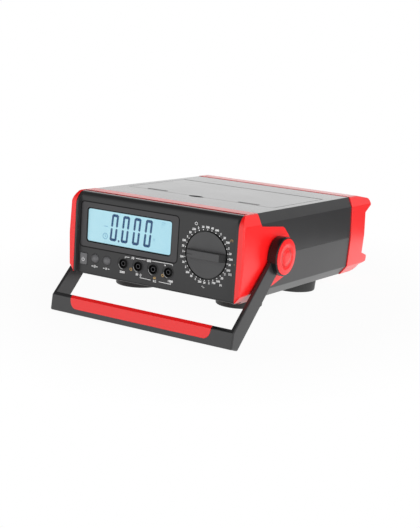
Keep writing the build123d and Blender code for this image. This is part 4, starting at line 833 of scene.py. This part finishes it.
# Floor, backdrop and light
def makeStudio():
    studio = {
        "floor": 0.34, "floorDrop": 0.0002, "floorColour": (0.86, 0.86, 0.86, 1), "floorRoughness": 0.8,
        "fadeFrom": 0.2, "fadeTo": 0.97, "shadowShare": 0.045, "tableGlow": 0.45,
        "ambient": 0.6, "zenith": 0.08, "ambientHeights": (0.3, 0.8),
        # a darker part of the room: direction, cosine where it starts, cosine where it is full
        "dark": ((0.54, 0.82, -0.15), 0.72, 0.93), "darkShare": 0.75, "darkHeights": (0.02, 0.14),
        # direction, cosine where it starts, cosine where it is full, strength, share that gloss mirrors
        "lights": (
            ((-0.24, -0.96, 0.12), 0.60, 0.95, 0.74, 1.0),       # wide soft box before the panel
            ((0.97, -0.05, 0.24), 0.60, 0.92, 1.90, 0.2),        # soft box on the right
            ((-0.52, 0.85, 0.09), 0.80, 0.97, 0.52, 1.0),        # backdrop that the top mirrors
        ),
    }
    white = (1, 1, 1, 1)
    bm = bmesh.new()
    bmesh.ops.create_circle(bm, cap_ends=True, segments=96, radius=studio["floor"])
    bmesh.ops.translate(bm, verts=bm.verts, vec=(0, 0, cadBox[0].z - studio["floorDrop"]))
    mesh = bpy.data.meshes.new("studioFloor")
    bm.to_mesh(mesh)
    bm.free()
    floor = addPiece("studioFloor", mesh)
    material, nodes, links = newMaterial("studioFloor")
    shader = nodes["Principled BSDF"]
    shader.inputs["Base Color"].default_value = studio["floorColour"]
    shader.inputs["Roughness"].default_value = studio["floorRoughness"]
    glow = nodes.new("ShaderNodeEmission")
    glow.inputs["Color"].default_value = white
    reach = nodes.new("ShaderNodeVectorMath")
    reach.operation = "LENGTH"
    links.new(objectCoords(nodes, links), reach.inputs[0])
    fade = between(nodes, links, reach.outputs["Value"], studio["fadeFrom"], studio["floor"] * studio["fadeTo"],
                   1 - studio["shadowShare"], 1)
    # The camera, gloss and glass see the floor white but for its shadow; on the object it glows less
    path = nodes.new("ShaderNodeLightPath").outputs
    seen = combine(nodes, links, "MAXIMUM", path["Is Camera Ray"], path["Is Glossy Ray"])
    seen = combine(nodes, links, "MAXIMUM", seen, path["Is Transmission Ray"])
    seen = combine(nodes, links, "MULTIPLY", seen, fade)
    mix = nodes.new("ShaderNodeMixShader")
    links.new(combine(nodes, links, "MAXIMUM", seen, studio["tableGlow"]), mix.inputs[0])
    links.new(shader.outputs[0], mix.inputs[1])
    links.new(glow.outputs[0], mix.inputs[2])
    links.new(mix.outputs[0], nodes["Material Output"].inputs["Surface"])
    mesh.materials.append(material)

    world = bpy.data.worlds.new("studioWorld")
    scene.world = world
    world.use_nodes = True
    nodes, links = world.node_tree.nodes, world.node_tree.links
    surround = nodes["Background"]
    surround.inputs["Color"].default_value = white
    place = nodes.new("ShaderNodeTexCoord").outputs["Generated"]
    split = nodes.new("ShaderNodeSeparateXYZ")
    links.new(place, split.inputs[0])

    def lobe(towards, start, full, strength):
        facing = nodes.new("ShaderNodeVectorMath")
        facing.operation = "DOT_PRODUCT"
        facing.inputs[1].default_value = Vector(towards).normalized()
        links.new(place, facing.inputs[0])
        ramp = between(nodes, links, facing.outputs["Value"], start, full, 0, strength)
        ramp.node.interpolation_type = "SMOOTHSTEP"
        return ramp

    level = between(nodes, links, split.outputs["Z"], *studio["ambientHeights"], studio["ambient"], studio["zenith"])
    shade = between(nodes, links, split.outputs["Z"], *studio["darkHeights"], studio["darkShare"], 0)
    shade = combine(nodes, links, "MULTIPLY", shade, lobe(*studio["dark"], 1))
    level = combine(nodes, links, "SUBTRACT", level, combine(nodes, links, "MULTIPLY", level, shade))
    path = nodes.new("ShaderNodeLightPath").outputs
    for towards, start, full, strength, mirrored in studio["lights"]:
        lamp = lobe(towards, start, full, strength)
        if mirrored < 1:
            share = between(nodes, links, path["Is Glossy Ray"], 0, 1, 1, mirrored)
            lamp = combine(nodes, links, "MULTIPLY", lamp, share)
        level = combine(nodes, links, "ADD", level, lamp)
    links.new(level, surround.inputs["Strength"])
    backdrop = nodes.new("ShaderNodeBackground")
    backdrop.inputs["Color"].default_value = white
    mix = nodes.new("ShaderNodeMixShader")
    links.new(path["Is Camera Ray"], mix.inputs[0])
    links.new(surround.outputs[0], mix.inputs[1])
    links.new(backdrop.outputs[0], mix.inputs[2])
    links.new(mix.outputs[0], nodes["World Output"].inputs["Surface"])


makeStudio()
print("studio set")
